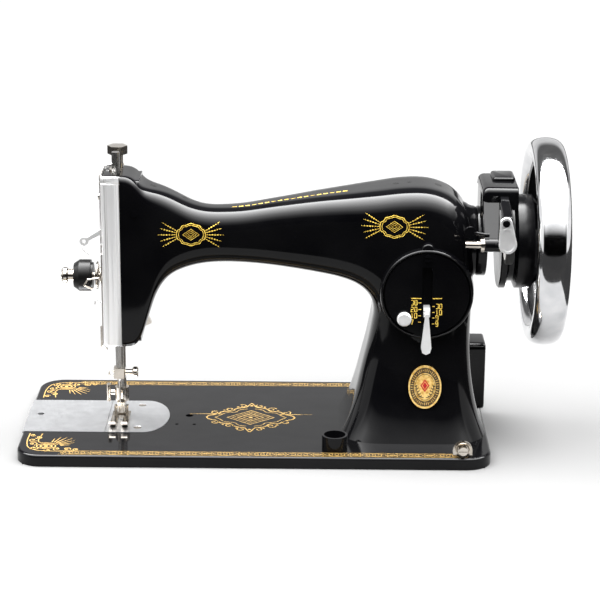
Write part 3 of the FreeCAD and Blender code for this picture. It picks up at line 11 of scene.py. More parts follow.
import bpy
import numpy as np
from mathutils import Matrix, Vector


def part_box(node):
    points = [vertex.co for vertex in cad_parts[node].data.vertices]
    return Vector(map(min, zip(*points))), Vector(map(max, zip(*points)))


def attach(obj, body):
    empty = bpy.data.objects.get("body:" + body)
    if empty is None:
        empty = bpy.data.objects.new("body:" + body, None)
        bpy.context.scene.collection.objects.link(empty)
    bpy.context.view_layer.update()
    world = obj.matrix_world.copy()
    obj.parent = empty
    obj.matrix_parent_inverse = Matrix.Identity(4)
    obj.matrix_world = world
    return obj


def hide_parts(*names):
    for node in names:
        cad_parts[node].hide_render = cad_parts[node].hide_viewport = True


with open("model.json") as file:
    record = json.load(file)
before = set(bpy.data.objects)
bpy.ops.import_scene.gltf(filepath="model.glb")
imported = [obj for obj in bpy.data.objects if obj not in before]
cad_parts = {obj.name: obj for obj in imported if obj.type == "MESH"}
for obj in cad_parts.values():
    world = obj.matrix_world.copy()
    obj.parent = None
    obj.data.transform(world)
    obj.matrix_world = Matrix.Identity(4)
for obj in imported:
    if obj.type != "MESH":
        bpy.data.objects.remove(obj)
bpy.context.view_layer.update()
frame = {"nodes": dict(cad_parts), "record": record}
scene = bpy.context.scene
MM = 0.001


def box_mm(node):
    """Lowest and highest corner of a node in millimetres, and the middle between them."""
    low, high = (np.array(corner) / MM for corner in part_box(node))
    return low, high, (low + high) / 2


# %% [markdown]
# ## The camera
# A long lens from a little above the bed, turned by less than half a degree, so the machine is
# seen almost square on with its bed as a shallow band.

# %% Camera
LENS_MM, SENSOR_MM = 121.86, 36.0
CAMERA_TARGET = np.array([34.9, 0.0, 109.4])
CAMERA_DISTANCE = 1624.0
YAW, ELEVATION, ROLL = np.radians([0.20, 17.13, 0.43])

back = np.array([np.sin(YAW) * np.cos(ELEVATION), -np.cos(YAW) * np.cos(ELEVATION),
                 np.sin(ELEVATION)])
level = np.cross(-back, [0, 0, 1])
level /= np.linalg.norm(level)
upright = np.cross(level, -back)
right = level * np.cos(ROLL) + upright * np.sin(ROLL)
above = upright * np.cos(ROLL) - level * np.sin(ROLL)
camera = bpy.data.objects.new("camera", bpy.data.cameras.new("camera"))
camera.data.lens, camera.data.sensor_width = LENS_MM, SENSOR_MM
camera.data.clip_start, camera.data.clip_end = 0.05, 50.0
turned = np.eye(4)
turned[:3, :3] = np.column_stack([right, above, back])
turned[:3, 3] = (CAMERA_TARGET + back * CAMERA_DISTANCE) * MM
camera.matrix_world = Matrix(turned.tolist())
scene.collection.objects.link(camera)
scene.camera = camera
print("camera at, mm:", np.round(turned[:3, 3] / MM))

# %% [markdown]
# ## Putting numpy surfaces into meshes
# A grid of points is joined into four-sided faces, its ends may be closed by flat caps, and the
# faces are turned outwards by the sign of the volume that they enclose.


# %% Mesh helpers
def turned_outward(points, faces):
    """The volume is a sixth of the sum of a . (b x c) over each face's fan of triangles; a
    negative sum means that the faces look inwards, so each one is reversed."""
    total = 0.0
    for size in {len(face) for face in faces}:
        loops = np.array([face for face in faces if len(face) == size])
        for k in range(1, size - 1):
            across = np.cross(points[loops[:, k]], points[loops[:, k + 1]])
            total += np.einsum("ij,ij->i", points[loops[:, 0]], across).sum()
    return faces if total > 0 else [face[::-1] for face in faces]


def piece(name, points, faces, finish, body, slot, closed=True, sharp=38):
    """A mesh from millimetre points and faces; edges sharper than sharp degrees stay crisp."""
    points = np.asarray(points, float)
    if closed:
        faces = turned_outward(points, faces)
    mesh = bpy.data.meshes.new(name)
    mesh.from_pydata((points * MM).tolist(), [], faces)
    mesh.shade_smooth()
    mesh.set_sharp_from_angle(angle=math.radians(sharp))
    mesh.materials.append(finish)
    made = bpy.data.objects.new(name, mesh)
    scene.collection.objects.link(made)
    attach(made, body)
    return made


def grid_faces(rows, columns, wrap_rows=False, wrap_columns=True):
    """Face (i, j) joins the points (i, j), (i, j+1), (i+1, j+1) and (i+1, j)."""
    i = np.arange(rows if wrap_rows else rows - 1)[:, None]
    j = np.arange(columns if wrap_columns else columns - 1)[None, :]
    i2, j2 = (i + 1) % rows, (j + 1) % columns
    quads = np.stack([i * columns + j, i * columns + j2, i2 * columns + j2, i2 * columns + j], -1)
    return quads.reshape(-1, 4).tolist()


def loft(rings, loop=False):
    """Rings of points (ring, round, xyz) joined in order; open ends get a flat cap each, and
    with loop the last ring joins the first."""
    count, around = rings.shape[:2]
    faces = grid_faces(count, around, wrap_rows=loop)
    if not loop:
        faces.append(list(range(around)))
        faces.append(list(range((count - 1) * around, count * around)))
    return rings.reshape(-1, 3), faces


def merged(*shapes):
    """Several (points, faces) as one."""
    points, faces, start = [], [], 0
    for some_points, some_faces in shapes:
        some_points = np.asarray(some_points, float)
        some_faces = turned_outward(some_points, some_faces)
        faces += [[index + start for index in face] for face in some_faces]
        points.append(some_points)
        start += len(some_points)
    return np.concatenate(points), faces


# %% Curve helpers
def softened(corners, radius, steps=5, closed=False):
    """Each corner gives way to a quadratic curve (1-t)^2 A + 2t(1-t) P + t^2 B, where A and B
    lie radius before and after the corner P on its two sides."""
    p = np.asarray(corners, float)
    to_last, to_next = np.roll(p, 1, 0) - p, np.roll(p, -1, 0) - p
    last_run = np.linalg.norm(to_last, axis=1, keepdims=True)
    next_run = np.linalg.norm(to_next, axis=1, keepdims=True)
    a = (p + to_last / last_run * np.minimum(radius, 0.48 * last_run))[:, None]
    b = (p + to_next / next_run * np.minimum(radius, 0.48 * next_run))[:, None]
    t = np.linspace(0, 1, steps)[None, :, None]
    curve = (1 - t) ** 2 * a + 2 * t * (1 - t) * p[:, None] + t ** 2 * b
    if closed:
        return curve.reshape(-1, p.shape[1])
    return np.concatenate([p[:1], curve[1:-1].reshape(-1, p.shape[1]), p[-1:]])


def eased(knots, values, at, blur=0.0):
    """Cubic curves through the knots, with each slope taken between a knot's neighbours, then
    an average under a bell of blur samples so that the curvature changes evenly too."""
    knots, values = np.asarray(knots, float), np.asarray(values, float)
    slopes = np.gradient(values, knots)
    k = np.clip(np.searchsorted(knots, at, side="right") - 1, 0, len(knots) - 2)
    span = knots[k + 1] - knots[k]
    t = (at - knots[k]) / span
    out = ((1 + 2 * t) * (1 - t) ** 2 * values[k] + t * (1 - t) ** 2 * span * slopes[k]
           + t * t * (3 - 2 * t) * values[k + 1] + t * t * (t - 1) * span * slopes[k + 1])
    if blur:
        reach = int(4 * blur)
        bell = np.exp(-0.5 * (np.arange(-reach, reach + 1) / blur) ** 2)
        padded = np.pad(out, reach, mode="reflect", reflect_type="odd")
        out = np.convolve(padded, bell / bell.sum(), mode="valid")
    return out


def round_basis(axis):
    """Two unit directions square to the axis x, y or z."""
    unit = np.eye(3)
    k = "xyz".index(axis)
    return unit[k], unit[(k + 1) % 3], unit[(k + 2) % 3]


def turned_shape(profile, centre, axis="x", count=96, loop=False):
    """Each profile point (along, radius) draws a circle: centre + along A + radius (cos B +
    sin C), as on a lathe."""
    along_axis, b, c = round_basis(axis)
    profile = np.asarray(profile, float)
    angle = np.linspace(0, 2 * np.pi, count, endpoint=False)[None, :, None]
    rings = (np.asarray(centre, float) + profile[:, 0, None, None] * along_axis
             + profile[:, 1, None, None] * (np.cos(angle) * b + np.sin(angle) * c))
    return loft(rings, loop)


def plate_shape(outline, low, high, edge, place, steps=4):
    """A flat outline pushed from low to high, with a quarter-round of radius edge at both ends:
    the outline moves in by edge (1 - sin t) while it rises by edge (1 - cos t)."""
    outline = np.asarray(outline, float)
    run = np.roll(outline, -1, 0) - np.roll(outline, 1, 0)
    run /= np.linalg.norm(run, axis=1, keepdims=True) + 1e-9
    normal = np.stack([run[:, 1], -run[:, 0]], 1)
    x, y = outline.T
    if (x * np.roll(y, -1) - y * np.roll(x, -1)).sum() < 0:
        normal = -normal
    t = np.linspace(0, np.pi / 2, steps)
    inset = np.concatenate([edge * (1 - np.sin(t)), edge * (1 - np.sin(t[::-1]))])
    height = np.concatenate([low + edge * (1 - np.cos(t)), high - edge * (1 - np.cos(t[::-1]))])
    flat = outline[None] - normal[None] * inset[:, None, None]
    rings = place(flat[..., 0], flat[..., 1], np.broadcast_to(height[:, None], flat.shape[:2]))
    return loft(np.stack(rings, -1))


# %% [markdown]
# ## Finishes
# Colours are given as screen hex values and turned to linear light by one function. Patterns
# read Object coordinates, which are metres here, so each scale is one over a real size.


# %% Material helpers
def screen_colour(hex_value):
    """sRGB hex to linear: c/12.92 below 0.04045, else ((c + 0.055)/1.055)^2.4."""
    parts = np.array([int(hex_value[i:i + 2], 16) for i in (1, 3, 5)]) / 255
    linear = np.where(parts <= 0.04045, parts / 12.92, ((parts + 0.055) / 1.055) ** 2.4)
    return (*linear.tolist(), 1.0)


def add(tree, kind, inputs=(), **settings):
    """Adds one shader node; settings are its own choices, inputs its sockets, each a value or
    another node's output to be linked."""
    node = tree.nodes.new("ShaderNode" + kind)
    for key, value in settings.items():
        setattr(node, key, value)
    for key, value in dict(inputs).items():
        socket = node.inputs[key]
        if isinstance(value, bpy.types.NodeSocket):
            tree.links.new(value, socket)
        else:
            socket.default_value = value
    return node


def pattern_at(tree, size_mm, stretch=(1, 1, 1), detail=2.0):
    """Noise whose grains are size_mm wide, drawn out along an axis where stretch is below 1."""
    where = add(tree, "TexCoord").outputs["Object"]
    place = add(tree, "Mapping", {"Vector": where, "Scale": stretch})
    return add(tree, "TexNoise", {"Vector": place.outputs["Vector"], "Scale": 1 / (size_mm * MM),
                                  "Detail": detail})


def spread(tree, source, low, high, start=0.3, end=0.7):
    """A pattern's middle range stretched over low to high."""
    return add(tree, "MapRange", {"Value": source, "From Min": start, "From Max": end,
                                  "To Min": low, "To Max": high}).outputs["Result"]


def two_tone(tree, factor, dark, light):
    """Between two colours by a factor."""
    mix = add(tree, "Mix", {0: factor, 6: screen_colour(dark), 7: screen_colour(light)},
              data_type="RGBA")
    return mix.outputs[2]


def bumps(tree, layers):
    """Height patterns on top of each other: each is a source and its height in millimetres."""
    normal = None
    for source, height in layers:
        inputs = {"Height": source, "Distance": height * MM, "Strength": 1.0}
        if normal is not None:
            inputs["Normal"] = normal
        normal = add(tree, "Bump", inputs).outputs["Normal"]
    return normal


def new_finish(name):
    material = bpy.data.materials.new(name)
    material.use_nodes = True
    tree = material.node_tree
    return material, tree, tree.nodes["Principled BSDF"]


def dress(tree, shader, colour, roughness, normal=None, **constants):
    """Links or sets the shader's colour, roughness and normal, and sets its constants."""
    for key, value in (("Base Color", colour), ("Roughness", roughness), ("Normal", normal)):
        if isinstance(value, bpy.types.NodeSocket):
            tree.links.new(value, shader.inputs[key])
        elif value is not None:
            shader.inputs[key].default_value = value
    for key, value in constants.items():
        shader.inputs[key.replace("_", " ")].default_value = value


# %% Enamel, hard rubber and tyre
def stoved_enamel(name, dark, light, low_rough, high_rough, wave_mm):
    """Black stoving enamel on a filled casting: a deep wet gloss, whose reflections wander
    gently where the filler was rubbed down, with a trace of dust haze."""
    material, tree, shader = new_finish(name)
    haze = pattern_at(tree, 34, detail=5).outputs["Fac"]
    waves = pattern_at(tree, wave_mm, detail=1).outputs["Fac"]
    peel = pattern_at(tree, 1.6, detail=1).outputs["Fac"]
    dress(tree, shader, two_tone(tree, spread(tree, haze, 0, 1), dark, light),
          spread(tree, haze, low_rough, high_rough), bumps(tree, [(waves, 0.16), (peel, 0.0016)]),
          Specular_IOR_Level=0.2, IOR=1.5)
    return material


enamel = stoved_enamel("stoved_black_enamel", "#030304", "#070708", 0.05, 0.11, 26)
web_enamel = stoved_enamel("wheel_black_enamel", "#050506", "#0d0d0f", 0.12, 0.24, 9)

hard_rubber, tree, shader = new_finish("moulded_black_hard_rubber")
dress(tree, shader, two_tone(tree, pattern_at(tree, 3).outputs["Fac"], "#050505", "#0c0c0c"), 0.34,
      bumps(tree, [(pattern_at(tree, 0.7).outputs["Fac"], 0.01)]), Specular_IOR_Level=0.2, IOR=1.5)

tyre_finish, tree, shader = new_finish("winder_tyre_rubber")
dress(tree, shader, two_tone(tree, pattern_at(tree, 2).outputs["Fac"], "#141414", "#242322"), 0.7,
      bumps(tree, [(pattern_at(tree, 0.5).outputs["Fac"], 0.03)]), IOR=1.52)


# %% Plated and bare metals
def plated(name, dark, light, low_rough, high_rough, grain_mm, stretch, height):
    """Metal that was polished before it was plated: nearly a mirror, with faint lines left by
    the mop, drawn out along the way that it ran, and a mottle of thin tarnish."""
    material, tree, shader = new_finish(name)
    lines = pattern_at(tree, grain_mm, stretch, 3).outputs["Fac"]
    mottle = pattern_at(tree, 11, detail=4).outputs["Fac"]
    dress(tree, shader, two_tone(tree, spread(tree, mottle, 0, 1), dark, light),
          spread(tree, lines, low_rough, high_rough), bumps(tree, [(lines, height)]), Metallic=1.0)
    return material


chrome = plated("bright_chrome_plate", "#cfd0d2", "#e3e3e4", 0.05, 0.12, 0.8, (0.1, 1, 1), 0.0008)
satin_chrome = plated("satin_front_chrome", "#f0f0f0", "#fcfcfc", 0.44, 0.52, 0.8, (1, 1, 0.2), 0.002)
nickel = plated("polished_nickel_plate", "#b9b2a8", "#d6cfc5", 0.10, 0.22, 0.5, (1, 1, 0.3), 0.0015)
bed_plate_chrome = plated("satin_bed_plate_chrome", "#c3c4c6", "#d3d4d6", 0.28, 0.38, 0.35,
                          (1, 0.04, 1), 0.003)
steel = plated("ground_oiled_steel", "#8b8a88", "#a9a7a4", 0.22, 0.36, 0.3, (1, 1, 0.2), 0.003)
bronze = plated("turned_bearing_bronze", "#8f6a3a", "#b48a4e", 0.25, 0.4, 0.4, (0.2, 1, 1), 0.003)

# The face plate's plating is drawn out into long upright streaks, fine ones and broad ones.
face_chrome, tree, shader = new_finish("face_plate_chrome")
streaks = pattern_at(tree, 1.5, (1, 1, 0.008), 2).outputs["Fac"]
broad = pattern_at(tree, 5.0, (1, 1, 0.004), 0).outputs["Fac"]
both = add(tree, "Math", {0: streaks, 1: broad}, operation="ADD").outputs["Value"]
dress(tree, shader, two_tone(tree, spread(tree, both, 0, 1, 0.86, 1.04), "#8d8883", "#ffffff"),
      spread(tree, streaks, 0.42, 0.56), bumps(tree, [(streaks, 0.02)]), Metallic=1.0)


# %% Gold transfer and badge finishes
def leaf(name, dark, light, rough, metallic, size_mm):
    """Bronze-powder gold printed on a varnish transfer: half metal, half paint, broken up where
    the powder lies thin."""
    material, tree, shader = new_finish(name)
    thin = pattern_at(tree, size_mm, detail=4).outputs["Fac"]
    dress(tree, shader, two_tone(tree, spread(tree, thin, 0, 1, 0.36, 0.6), dark, light), rough,
          bumps(tree, [(thin, 0.004)]), Metallic=metallic)
    return material


gold = leaf("gold_transfer_leaf", "#b08a2c", "#f0cf5c", 0.42, 0.2, 1.6)
bed_gold_leaf = leaf("worn_gold_transfer_leaf", "#6b5526", "#9a7c45", 0.5, 0.15, 1.6)
pale_gold = leaf("lacquered_badge_gold", "#c99b45", "#f0cf86", 0.3, 0.55, 2.2)
dark_print = leaf("badge_dark_print", "#1c130a", "#3a2a14", 0.4, 0.0, 1.5)
red_print = leaf("badge_red_print", "#7d0f12", "#a8191b", 0.35, 0.0, 1.5)

# %% [markdown]
# ## The small parts keep their solids
# Bars, screws, shafts and the hook are turned or milled, and their solids already are. Each
# takes the plate or the bare metal that its slot in the record names.

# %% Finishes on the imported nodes
SLOT_FINISH = {"black_enamel": enamel, "nickel": nickel, "steel": steel, "bronze": bronze,
               "gold_badge": pale_gold, "tyre_rubber": tyre_finish}
OWN_FINISH = {"slide_plate": bed_plate_chrome, "needle_plate": bed_plate_chrome,
              "hand_wheel": web_enamel, "clutch_knob": chrome, "tension_dial": hard_rubber,
              "stitch_lever": satin_chrome, "stitch_stop_knob": satin_chrome,
              "take_up_lever": satin_chrome, "thread_guides": satin_chrome,
              "feed_knob": enamel, "take_up_stud": enamel, "stitch_plate_screws": enamel}
for row in frame["record"]["subparts"]:
    node = frame["nodes"][row["node"]]
    node.data.materials.clear()
    node.data.materials.append(OWN_FINISH.get(row["node"], SLOT_FINISH[row["material_slot"]]))
print("finishes set on", len(frame["nodes"]), "nodes")

# %% [markdown]
# ## The arm and pillar
# The casting rises from the bed, turns over a shoulder and narrows towards the head. It is one
# closed section, a rectangle with very round corners, carried along that bent way: at each
# station a line runs from the outer side to the inner side, and the section is set across it.
# A single swept surface has no seam, so the long reflections run unbroken as they do on the
# rubbed-down casting.

# %% Stations of the arm: outer x z, inner x z, half depth, corner radius
HEAD_LEFT = box_mm("face_plate")[1][0]
BED_TOP = box_mm("bed")[1][2]
ARM_STATIONS = np.array([
    [-106.0, 214.6, -106.0, 75.0, 23.8, 7.0],
    [-100.0, 214.6, -100.0, 75.0, 23.8, 7.5],
    [-95.5, 212.6, -95.0, 75.8, 23.8, 8.5],
    [-90.0, 206.6, -90.5, 83.5, 23.6, 10.5],
    [-83.0, 203.0, -84.5, 101.0, 23.3, 13.5],
    [-75.0, 200.8, -78.0, 119.5, 22.8, 16.0],
    [-67.0, 197.9, -70.0, 130.8, 22.3, 18.0],
    [-58.5, 193.7, -60.0, 136.6, 21.8, 19.0],
    [-50.0, 189.6, -50.0, 139.8, 21.5, 19.5],
    [-40.0, 186.8, -40.0, 141.8, 21.3, 19.5],
    [-26.0, 186.5, -26.0, 142.9, 21.4, 19.0],
    [-10.0, 187.6, -10.0, 142.8, 21.8, 18.5],
    [8.0, 190.6, 8.0, 141.6, 22.8, 18.5],
    [29.0, 194.1, 28.0, 139.4, 24.8, 19.0],
    [50.0, 197.6, 47.0, 136.9, 28.0, 20.0],
    [72.0, 200.8, 64.0, 134.2, 32.0, 21.5],
    [95.0, 204.2, 76.5, 130.6, 35.6, 23.0],
    [118.0, 207.2, 85.0, 125.4, 37.6, 24.0],
    [139.0, 206.2, 90.5, 118.6, 38.3, 24.5],
    [157.0, 198.2, 92.6, 111.5, 38.5, 25.0],
    [168.0, 181.5, 92.8, 105.0, 38.5, 25.0],
    [171.5, 160.0, 91.8, 98.0, 38.5, 25.0],
    [171.2, 135.0, 90.4, 89.5, 38.5, 25.0],
    [170.4, 110.0, 88.4, 79.0, 38.7, 25.0],
    [170.0, 88.0, 85.8, 68.0, 39.6, 25.0],
    [171.0, 66.0, 82.8, 55.0, 41.8, 25.5],
    [173.5, 45.0, 79.6, 41.0, 45.4, 27.0],
    [176.8, 29.0, 76.0, 28.5, 49.8, 29.0],
    [180.2, 17.5, 71.8, 17.8, 54.6, 31.0],
    [183.6, 9.5, 67.4, 9.5, 58.6, 33.0],
])
ARM_STEPS = 170
ARM_BLUR = 1.6          # how many samples the lines along the arm are evened over
CORNER_POWER = 2.5      # 2 is a circle; above it the flat runs into the corner without a kink
CROWN = 0.035           # the flats are this much fuller in their middle


def section_round(corner_steps=16, flat_steps=9):
    """Weights of a rounded rectangle, going round it: how far each point goes towards the
    corner's centre along both half sizes, and where on the corner's curve it lies."""
    parts = []
    for quarter in range(4):
        t = quarter * np.pi / 2 + np.linspace(0, np.pi / 2, corner_steps)
        mid = quarter * np.pi / 2 + np.pi / 4
        sign_p, sign_q = np.sign(np.cos(mid)), np.sign(np.sin(mid))
        bend_p = np.sign(np.cos(t)) * np.abs(np.cos(t)) ** (2 / CORNER_POWER)
        bend_q = np.sign(np.sin(t)) * np.abs(np.sin(t)) ** (2 / CORNER_POWER)
        parts.append(np.stack([np.full_like(t, sign_p), np.full_like(t, sign_q), bend_p, bend_q]))
        after = mid + np.pi / 2
        ease = np.linspace(0, 1, flat_steps + 2)[1:-1]
        next_p, next_q = np.sign(np.cos(after)), np.sign(np.sin(after))
        end = (quarter + 1) * np.pi / 2
        parts.append(np.stack([sign_p + (next_p - sign_p) * ease, sign_q + (next_q - sign_q) * ease,
                               np.full_like(ease, round(np.cos(end))),
                               np.full_like(ease, round(np.sin(end)))]))
    return np.concatenate(parts, 1)


def arm_rings(stations, inset=0.0):
    """Each ring point is M + p E + q Y: M halfway between outer and inner, E the unit way from
    inner to outer, p and q the rounded rectangle's coordinates."""
    outer, inner = stations[:, 0:2], stations[:, 2:4]
    middle, half = (outer + inner) / 2, (outer - inner) / 2
    long_half = np.linalg.norm(half, axis=1)
    unit = half / long_half[:, None]
    a, h = long_half - inset, stations[:, 4] - inset
    radius = np.minimum(stations[:, 5] - 0.6 * inset, 0.97 * np.minimum(a, h))
    to_p, to_q, bend_p, bend_q = section_round()
    p = to_p[None] * (a - radius)[:, None] + bend_p[None] * radius[:, None]
    q = to_q[None] * (h - radius)[:, None] + bend_q[None] * radius[:, None]
    q = q * (1 - CROWN * (p / a[:, None]) ** 2)
    return np.stack([middle[:, 0:1] + p * unit[:, 0:1], q, middle[:, 1:2] + p * unit[:, 1:2]], -1)


# %% Sweep the arm
way = np.linalg.norm(np.diff(ARM_STATIONS[:, :4], axis=0), axis=1)
knots = np.concatenate([[0], np.cumsum(way)])
at = np.linspace(0, knots[-1], ARM_STEPS)
arm_lines = np.stack([eased(knots, ARM_STATIONS[:, k], at, ARM_BLUR) for k in range(6)], 1)
arm_lines[0, :] = ARM_STATIONS[0]
arm_lines[-1, :] = ARM_STATIONS[-1]
outside = arm_rings(arm_lines)
HEAD_WALL, HEAD_DEPTH = 4.0, 15.0
mouth = arm_rings(ARM_STATIONS[:1], HEAD_WALL)
floor_of_head = mouth + np.array([HEAD_DEPTH, 0, 0])
arm = piece("arm_casting", *loft(np.concatenate([floor_of_head, mouth, outside])), enamel, "frame",
            "black_enamel", sharp=50)
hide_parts("arm")
print("arm casting:", len(arm.data.polygons), "faces")

# %% [markdown]
# ## What is cast or screwed onto the arm
# The neck that carries the shaft's right bearing, the motor's pad, the two shelves in the head,
# the raised ring round the stitch plate and the ear above it.

# %% Neck, motor pad, shelves, ring
def along_z(u, v, w):
    return u, v, w


def along_y(u, v, w):
    return u, w, v


def along_x(u, v, w):
    return w, u, v


def rectangle(u0, u1, v0, v1, radius, steps=7):
    return softened([(u0, v0), (u1, v0), (u1, v1), (u0, v1)], radius, steps, closed=True)


def circle(u, v, radius, count=64, squash=1.0):
    t = np.linspace(0, 2 * np.pi, count, endpoint=False)
    return np.stack([u + radius * np.cos(t), v + radius * squash * np.sin(t)], 1)


SHAFT_Z = box_mm("arm_shaft")[2][2]
NECK_END = 173.5
NECK_R, NECK_BORE = 27.6, 5.7
neck = softened([(NECK_END - 30, NECK_BORE), (NECK_END - 30, 33.0), (NECK_END - 9, 31.0),
                 (NECK_END - 5, 28.0), (NECK_END, NECK_R), (NECK_END, NECK_BORE)], 2.4)
piece("arm_neck", *turned_shape(neck, (0, 0, SHAFT_Z), "x", 96, loop=True), enamel, "frame",
      "black_enamel")

motor_pad = rectangle(12, 44, BED_TOP + 3.5, BED_TOP + 60, 5)
piece("motor_pad", *plate_shape(motor_pad, 150, 186, 2.0, along_x), enamel, "frame", "black_enamel")

SHELF_LEFT, SHELF_RIGHT, SHELF_HALF = -120.9, -100.0, 20.8
SHELF_HEIGHTS = ((77.0, 86.0), (203.5, 212.5))
shelves = []
for low, high in SHELF_HEIGHTS:
    outline = rectangle(SHELF_LEFT, SHELF_RIGHT, -SHELF_HALF, SHELF_HALF, 11.4)
    shelves.append(plate_shape(outline, low, high, 0.8, along_z))
piece("head_shelves", *merged(*shelves), enamel, "frame", "black_enamel")

DIAL_FRONT = box_mm("stitch_plate")[0][1]
DIAL_X, DIAL_Z, DIAL_R = 133.7, 127.8, 34.0
bead = softened([(-43.9, DIAL_R + 0.2), (-44.6, DIAL_R + 0.5), (-43.6, DIAL_R + 2.0),
                 (-40, DIAL_R + 2.6), (-30, DIAL_R + 3.4), (-30, DIAL_R + 0.2)], 0.8, closed=True)
ring_shapes = [turned_shape(bead, (DIAL_X, 0, DIAL_Z), "y", 128, loop=True)]
# The ear above the ring and the two small lumps under it: across, up and radius of each.
for u, v, r in ((0.0, DIAL_R + 1.2, 5.2), (-7.5, -DIAL_R - 0.6, 3.4), (-5.0, -DIAL_R - 3.6, 2.4)):
    boss = softened([(-30, 0.2), (-30, r + 1.6), (-42.6, r), (-43.4, r - 1.2), (-43.4, 0.2)], 0.9)
    ring_shapes.append(turned_shape(boss, (DIAL_X + u, 0, DIAL_Z + v), "y", 40))
piece("stitch_plate_ring", *merged(*ring_shapes), enamel, "frame", "black_enamel", sharp=60)

# %% [markdown]
# ## The winder's guard and finger plate
# The guard is a bent sheet: its folded section is carried along the machine, and over the first
# few millimetres its top drops as a quarter circle does. The finger plate is drop-shaped, the
# outline of two circles and their common tangents, with a rim round its lower half.

# %% Winder guard
GUARD_LEFT, GUARD_RIGHT, GUARD_TOP = 175.0, 203.0, 210.8
GUARD_FRONT = -33.8
GUARD_BACK, GUARD_LOW, SKIRT_LOW = 18.0, 204.0, 193.6
GUARD_SHEET, GUARD_ROUND = 1.7, 5.0
SWING_Y, SWING_Z = -26.0, SHAFT_Z + 43.4
folded = softened([(GUARD_BACK, GUARD_LOW), (GUARD_BACK, GUARD_TOP), (GUARD_FRONT, GUARD_TOP),
                   (GUARD_FRONT, SKIRT_LOW), (GUARD_FRONT + GUARD_SHEET, SKIRT_LOW),
                   (GUARD_FRONT + GUARD_SHEET, GUARD_TOP - GUARD_SHEET),
                   (GUARD_BACK - GUARD_SHEET, GUARD_TOP - GUARD_SHEET),
                   (GUARD_BACK - GUARD_SHEET, GUARD_LOW)],
                  [[1], [2], [6], [0.8], [0.8], [4.5], [1], [0.8]], 9, closed=True)
t = np.linspace(0, np.pi / 2, 12)
along = np.concatenate([GUARD_LEFT + GUARD_ROUND * (1 - np.cos(t)), [GUARD_RIGHT - 1.0, GUARD_RIGHT]])
drop = np.concatenate([GUARD_ROUND * (1 - np.sin(t)), [0.0, 0.5]])
guard_rings = np.zeros((len(along), len(folded), 3))
guard_rings[..., 0] = along[:, None]
guard_rings[..., 1] = folded[None, :, 0] + np.where(folded[None, :, 0] < -20, drop[:, None] * 0.4, 0)
share = np.clip((folded[None, :, 1] - 200) / (GUARD_TOP - 200), 0, 1)
guard_rings[..., 2] = folded[None, :, 1] - share * drop[:, None]
collar = softened([(NECK_END, 11.5), (NECK_END, NECK_R), (NECK_END + 7.5, NECK_R),
                   (NECK_END + 7.5, 11.5)], 1.0, closed=True)
post = plate_shape(rectangle(-16, 12, SHAFT_Z + 20, 206, 3), GUARD_LEFT, GUARD_LEFT + 6, 1.0, along_x)
upper = plate_shape(rectangle(GUARD_LEFT + 9.5, GUARD_RIGHT - 0.5, -10, 16, 4), GUARD_TOP - 1, 213.5,
                    1.8, along_z)
latch_low, latch_high, _ = box_mm("winder_latch")
LATCH_TOP_R, LATCH_FOOT_R = 4.6, 6.9
LATCH_X, LATCH_Y, LATCH_Z = 190.3, latch_low[1], latch_high[2] - LATCH_TOP_R
strut_line = [(-33, 205), (-33, 199.5), (LATCH_Y + 2.4, LATCH_Z - 4), (LATCH_Y + 2.4, LATCH_Z + 4)]
strut = plate_shape(softened(strut_line, 2, 5, closed=True), 188.3, 195.3, 0.8, along_x)
pin = turned_shape([(-0.8, 0.1), (-0.8, 1.9), (3.5, 1.9), (3.5, 0.1)], (LATCH_X, LATCH_Y, LATCH_Z), "y",
                   32)
cap = turned_shape(softened([(-1.1, 0.1), (-1.1, 2.8), (-0.3, 2.8), (-0.3, 0.1)], 0.3),
                   (LATCH_X, LATCH_Y, LATCH_Z), "y", 32)
pivot = turned_shape([(175.5, 0.1), (175.5, 2), (202.5, 2), (202.5, 0.1)], (0, SWING_Y, SWING_Z), "x",
                     32)
collar_shape = turned_shape(collar, (0, 0, SHAFT_Z), "x", 96, loop=True)
guard = piece("winder_guard", *merged(loft(guard_rings), collar_shape, post, upper, strut, pivot, pin,
                                      cap), enamel, "frame", "black_enamel", sharp=50)
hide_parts("winder_bracket")


# %% Winder finger plate
def drop_outline(u, top, top_r, low_u, low, low_r, count=22):
    """Two circles joined by their common tangents, seen from the front."""
    run = np.array([low_u - u, low - top])
    apart = np.linalg.norm(run)
    lean = np.arctan2(run[1], run[0])
    open_angle = np.arccos((top_r - low_r) / apart)
    upper_arc = np.linspace(lean + open_angle, lean + 2 * np.pi - open_angle, count)
    lower_arc = np.linspace(lean - open_angle, lean + open_angle, count)
    return np.concatenate([
        np.stack([u + top_r * np.cos(upper_arc), top + top_r * np.sin(upper_arc)], 1),
        np.stack([low_u + low_r * np.cos(lower_arc), low + low_r * np.sin(lower_arc)], 1)])


FOOT_X, FOOT_Z = LATCH_X + 1.8, LATCH_Z - 17.0
RIM_SEAT, RIM_FACE = LATCH_Y + 0.4, LATCH_Y - 0.25
body_line = drop_outline(LATCH_X, LATCH_Z, LATCH_TOP_R, FOOT_X, FOOT_Z, LATCH_FOOT_R)
latch_plate = plate_shape(body_line, LATCH_Y, LATCH_Y + 2.0, 0.5, along_y)
rim_line = drop_outline(LATCH_X + 0.8, LATCH_Z - 7.6, 3.6, FOOT_X, FOOT_Z, LATCH_FOOT_R - 1)
inner_line = drop_outline(LATCH_X + 0.8, LATCH_Z - 7.8, 2.6, FOOT_X, FOOT_Z, LATCH_FOOT_R - 2)
rim_rings = np.stack([np.stack(along_y(line[:, 0], line[:, 1], np.full(len(line), depth)), -1)
                      for line, depth in ((rim_line, RIM_SEAT), (rim_line, RIM_FACE),
                                          (inner_line, RIM_FACE), (inner_line, RIM_SEAT))])
latch = piece("winder_finger_plate", *merged(latch_plate, loft(rim_rings, loop=True)), satin_chrome,
              "winder_stop", "nickel", sharp=40)
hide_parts("winder_latch")

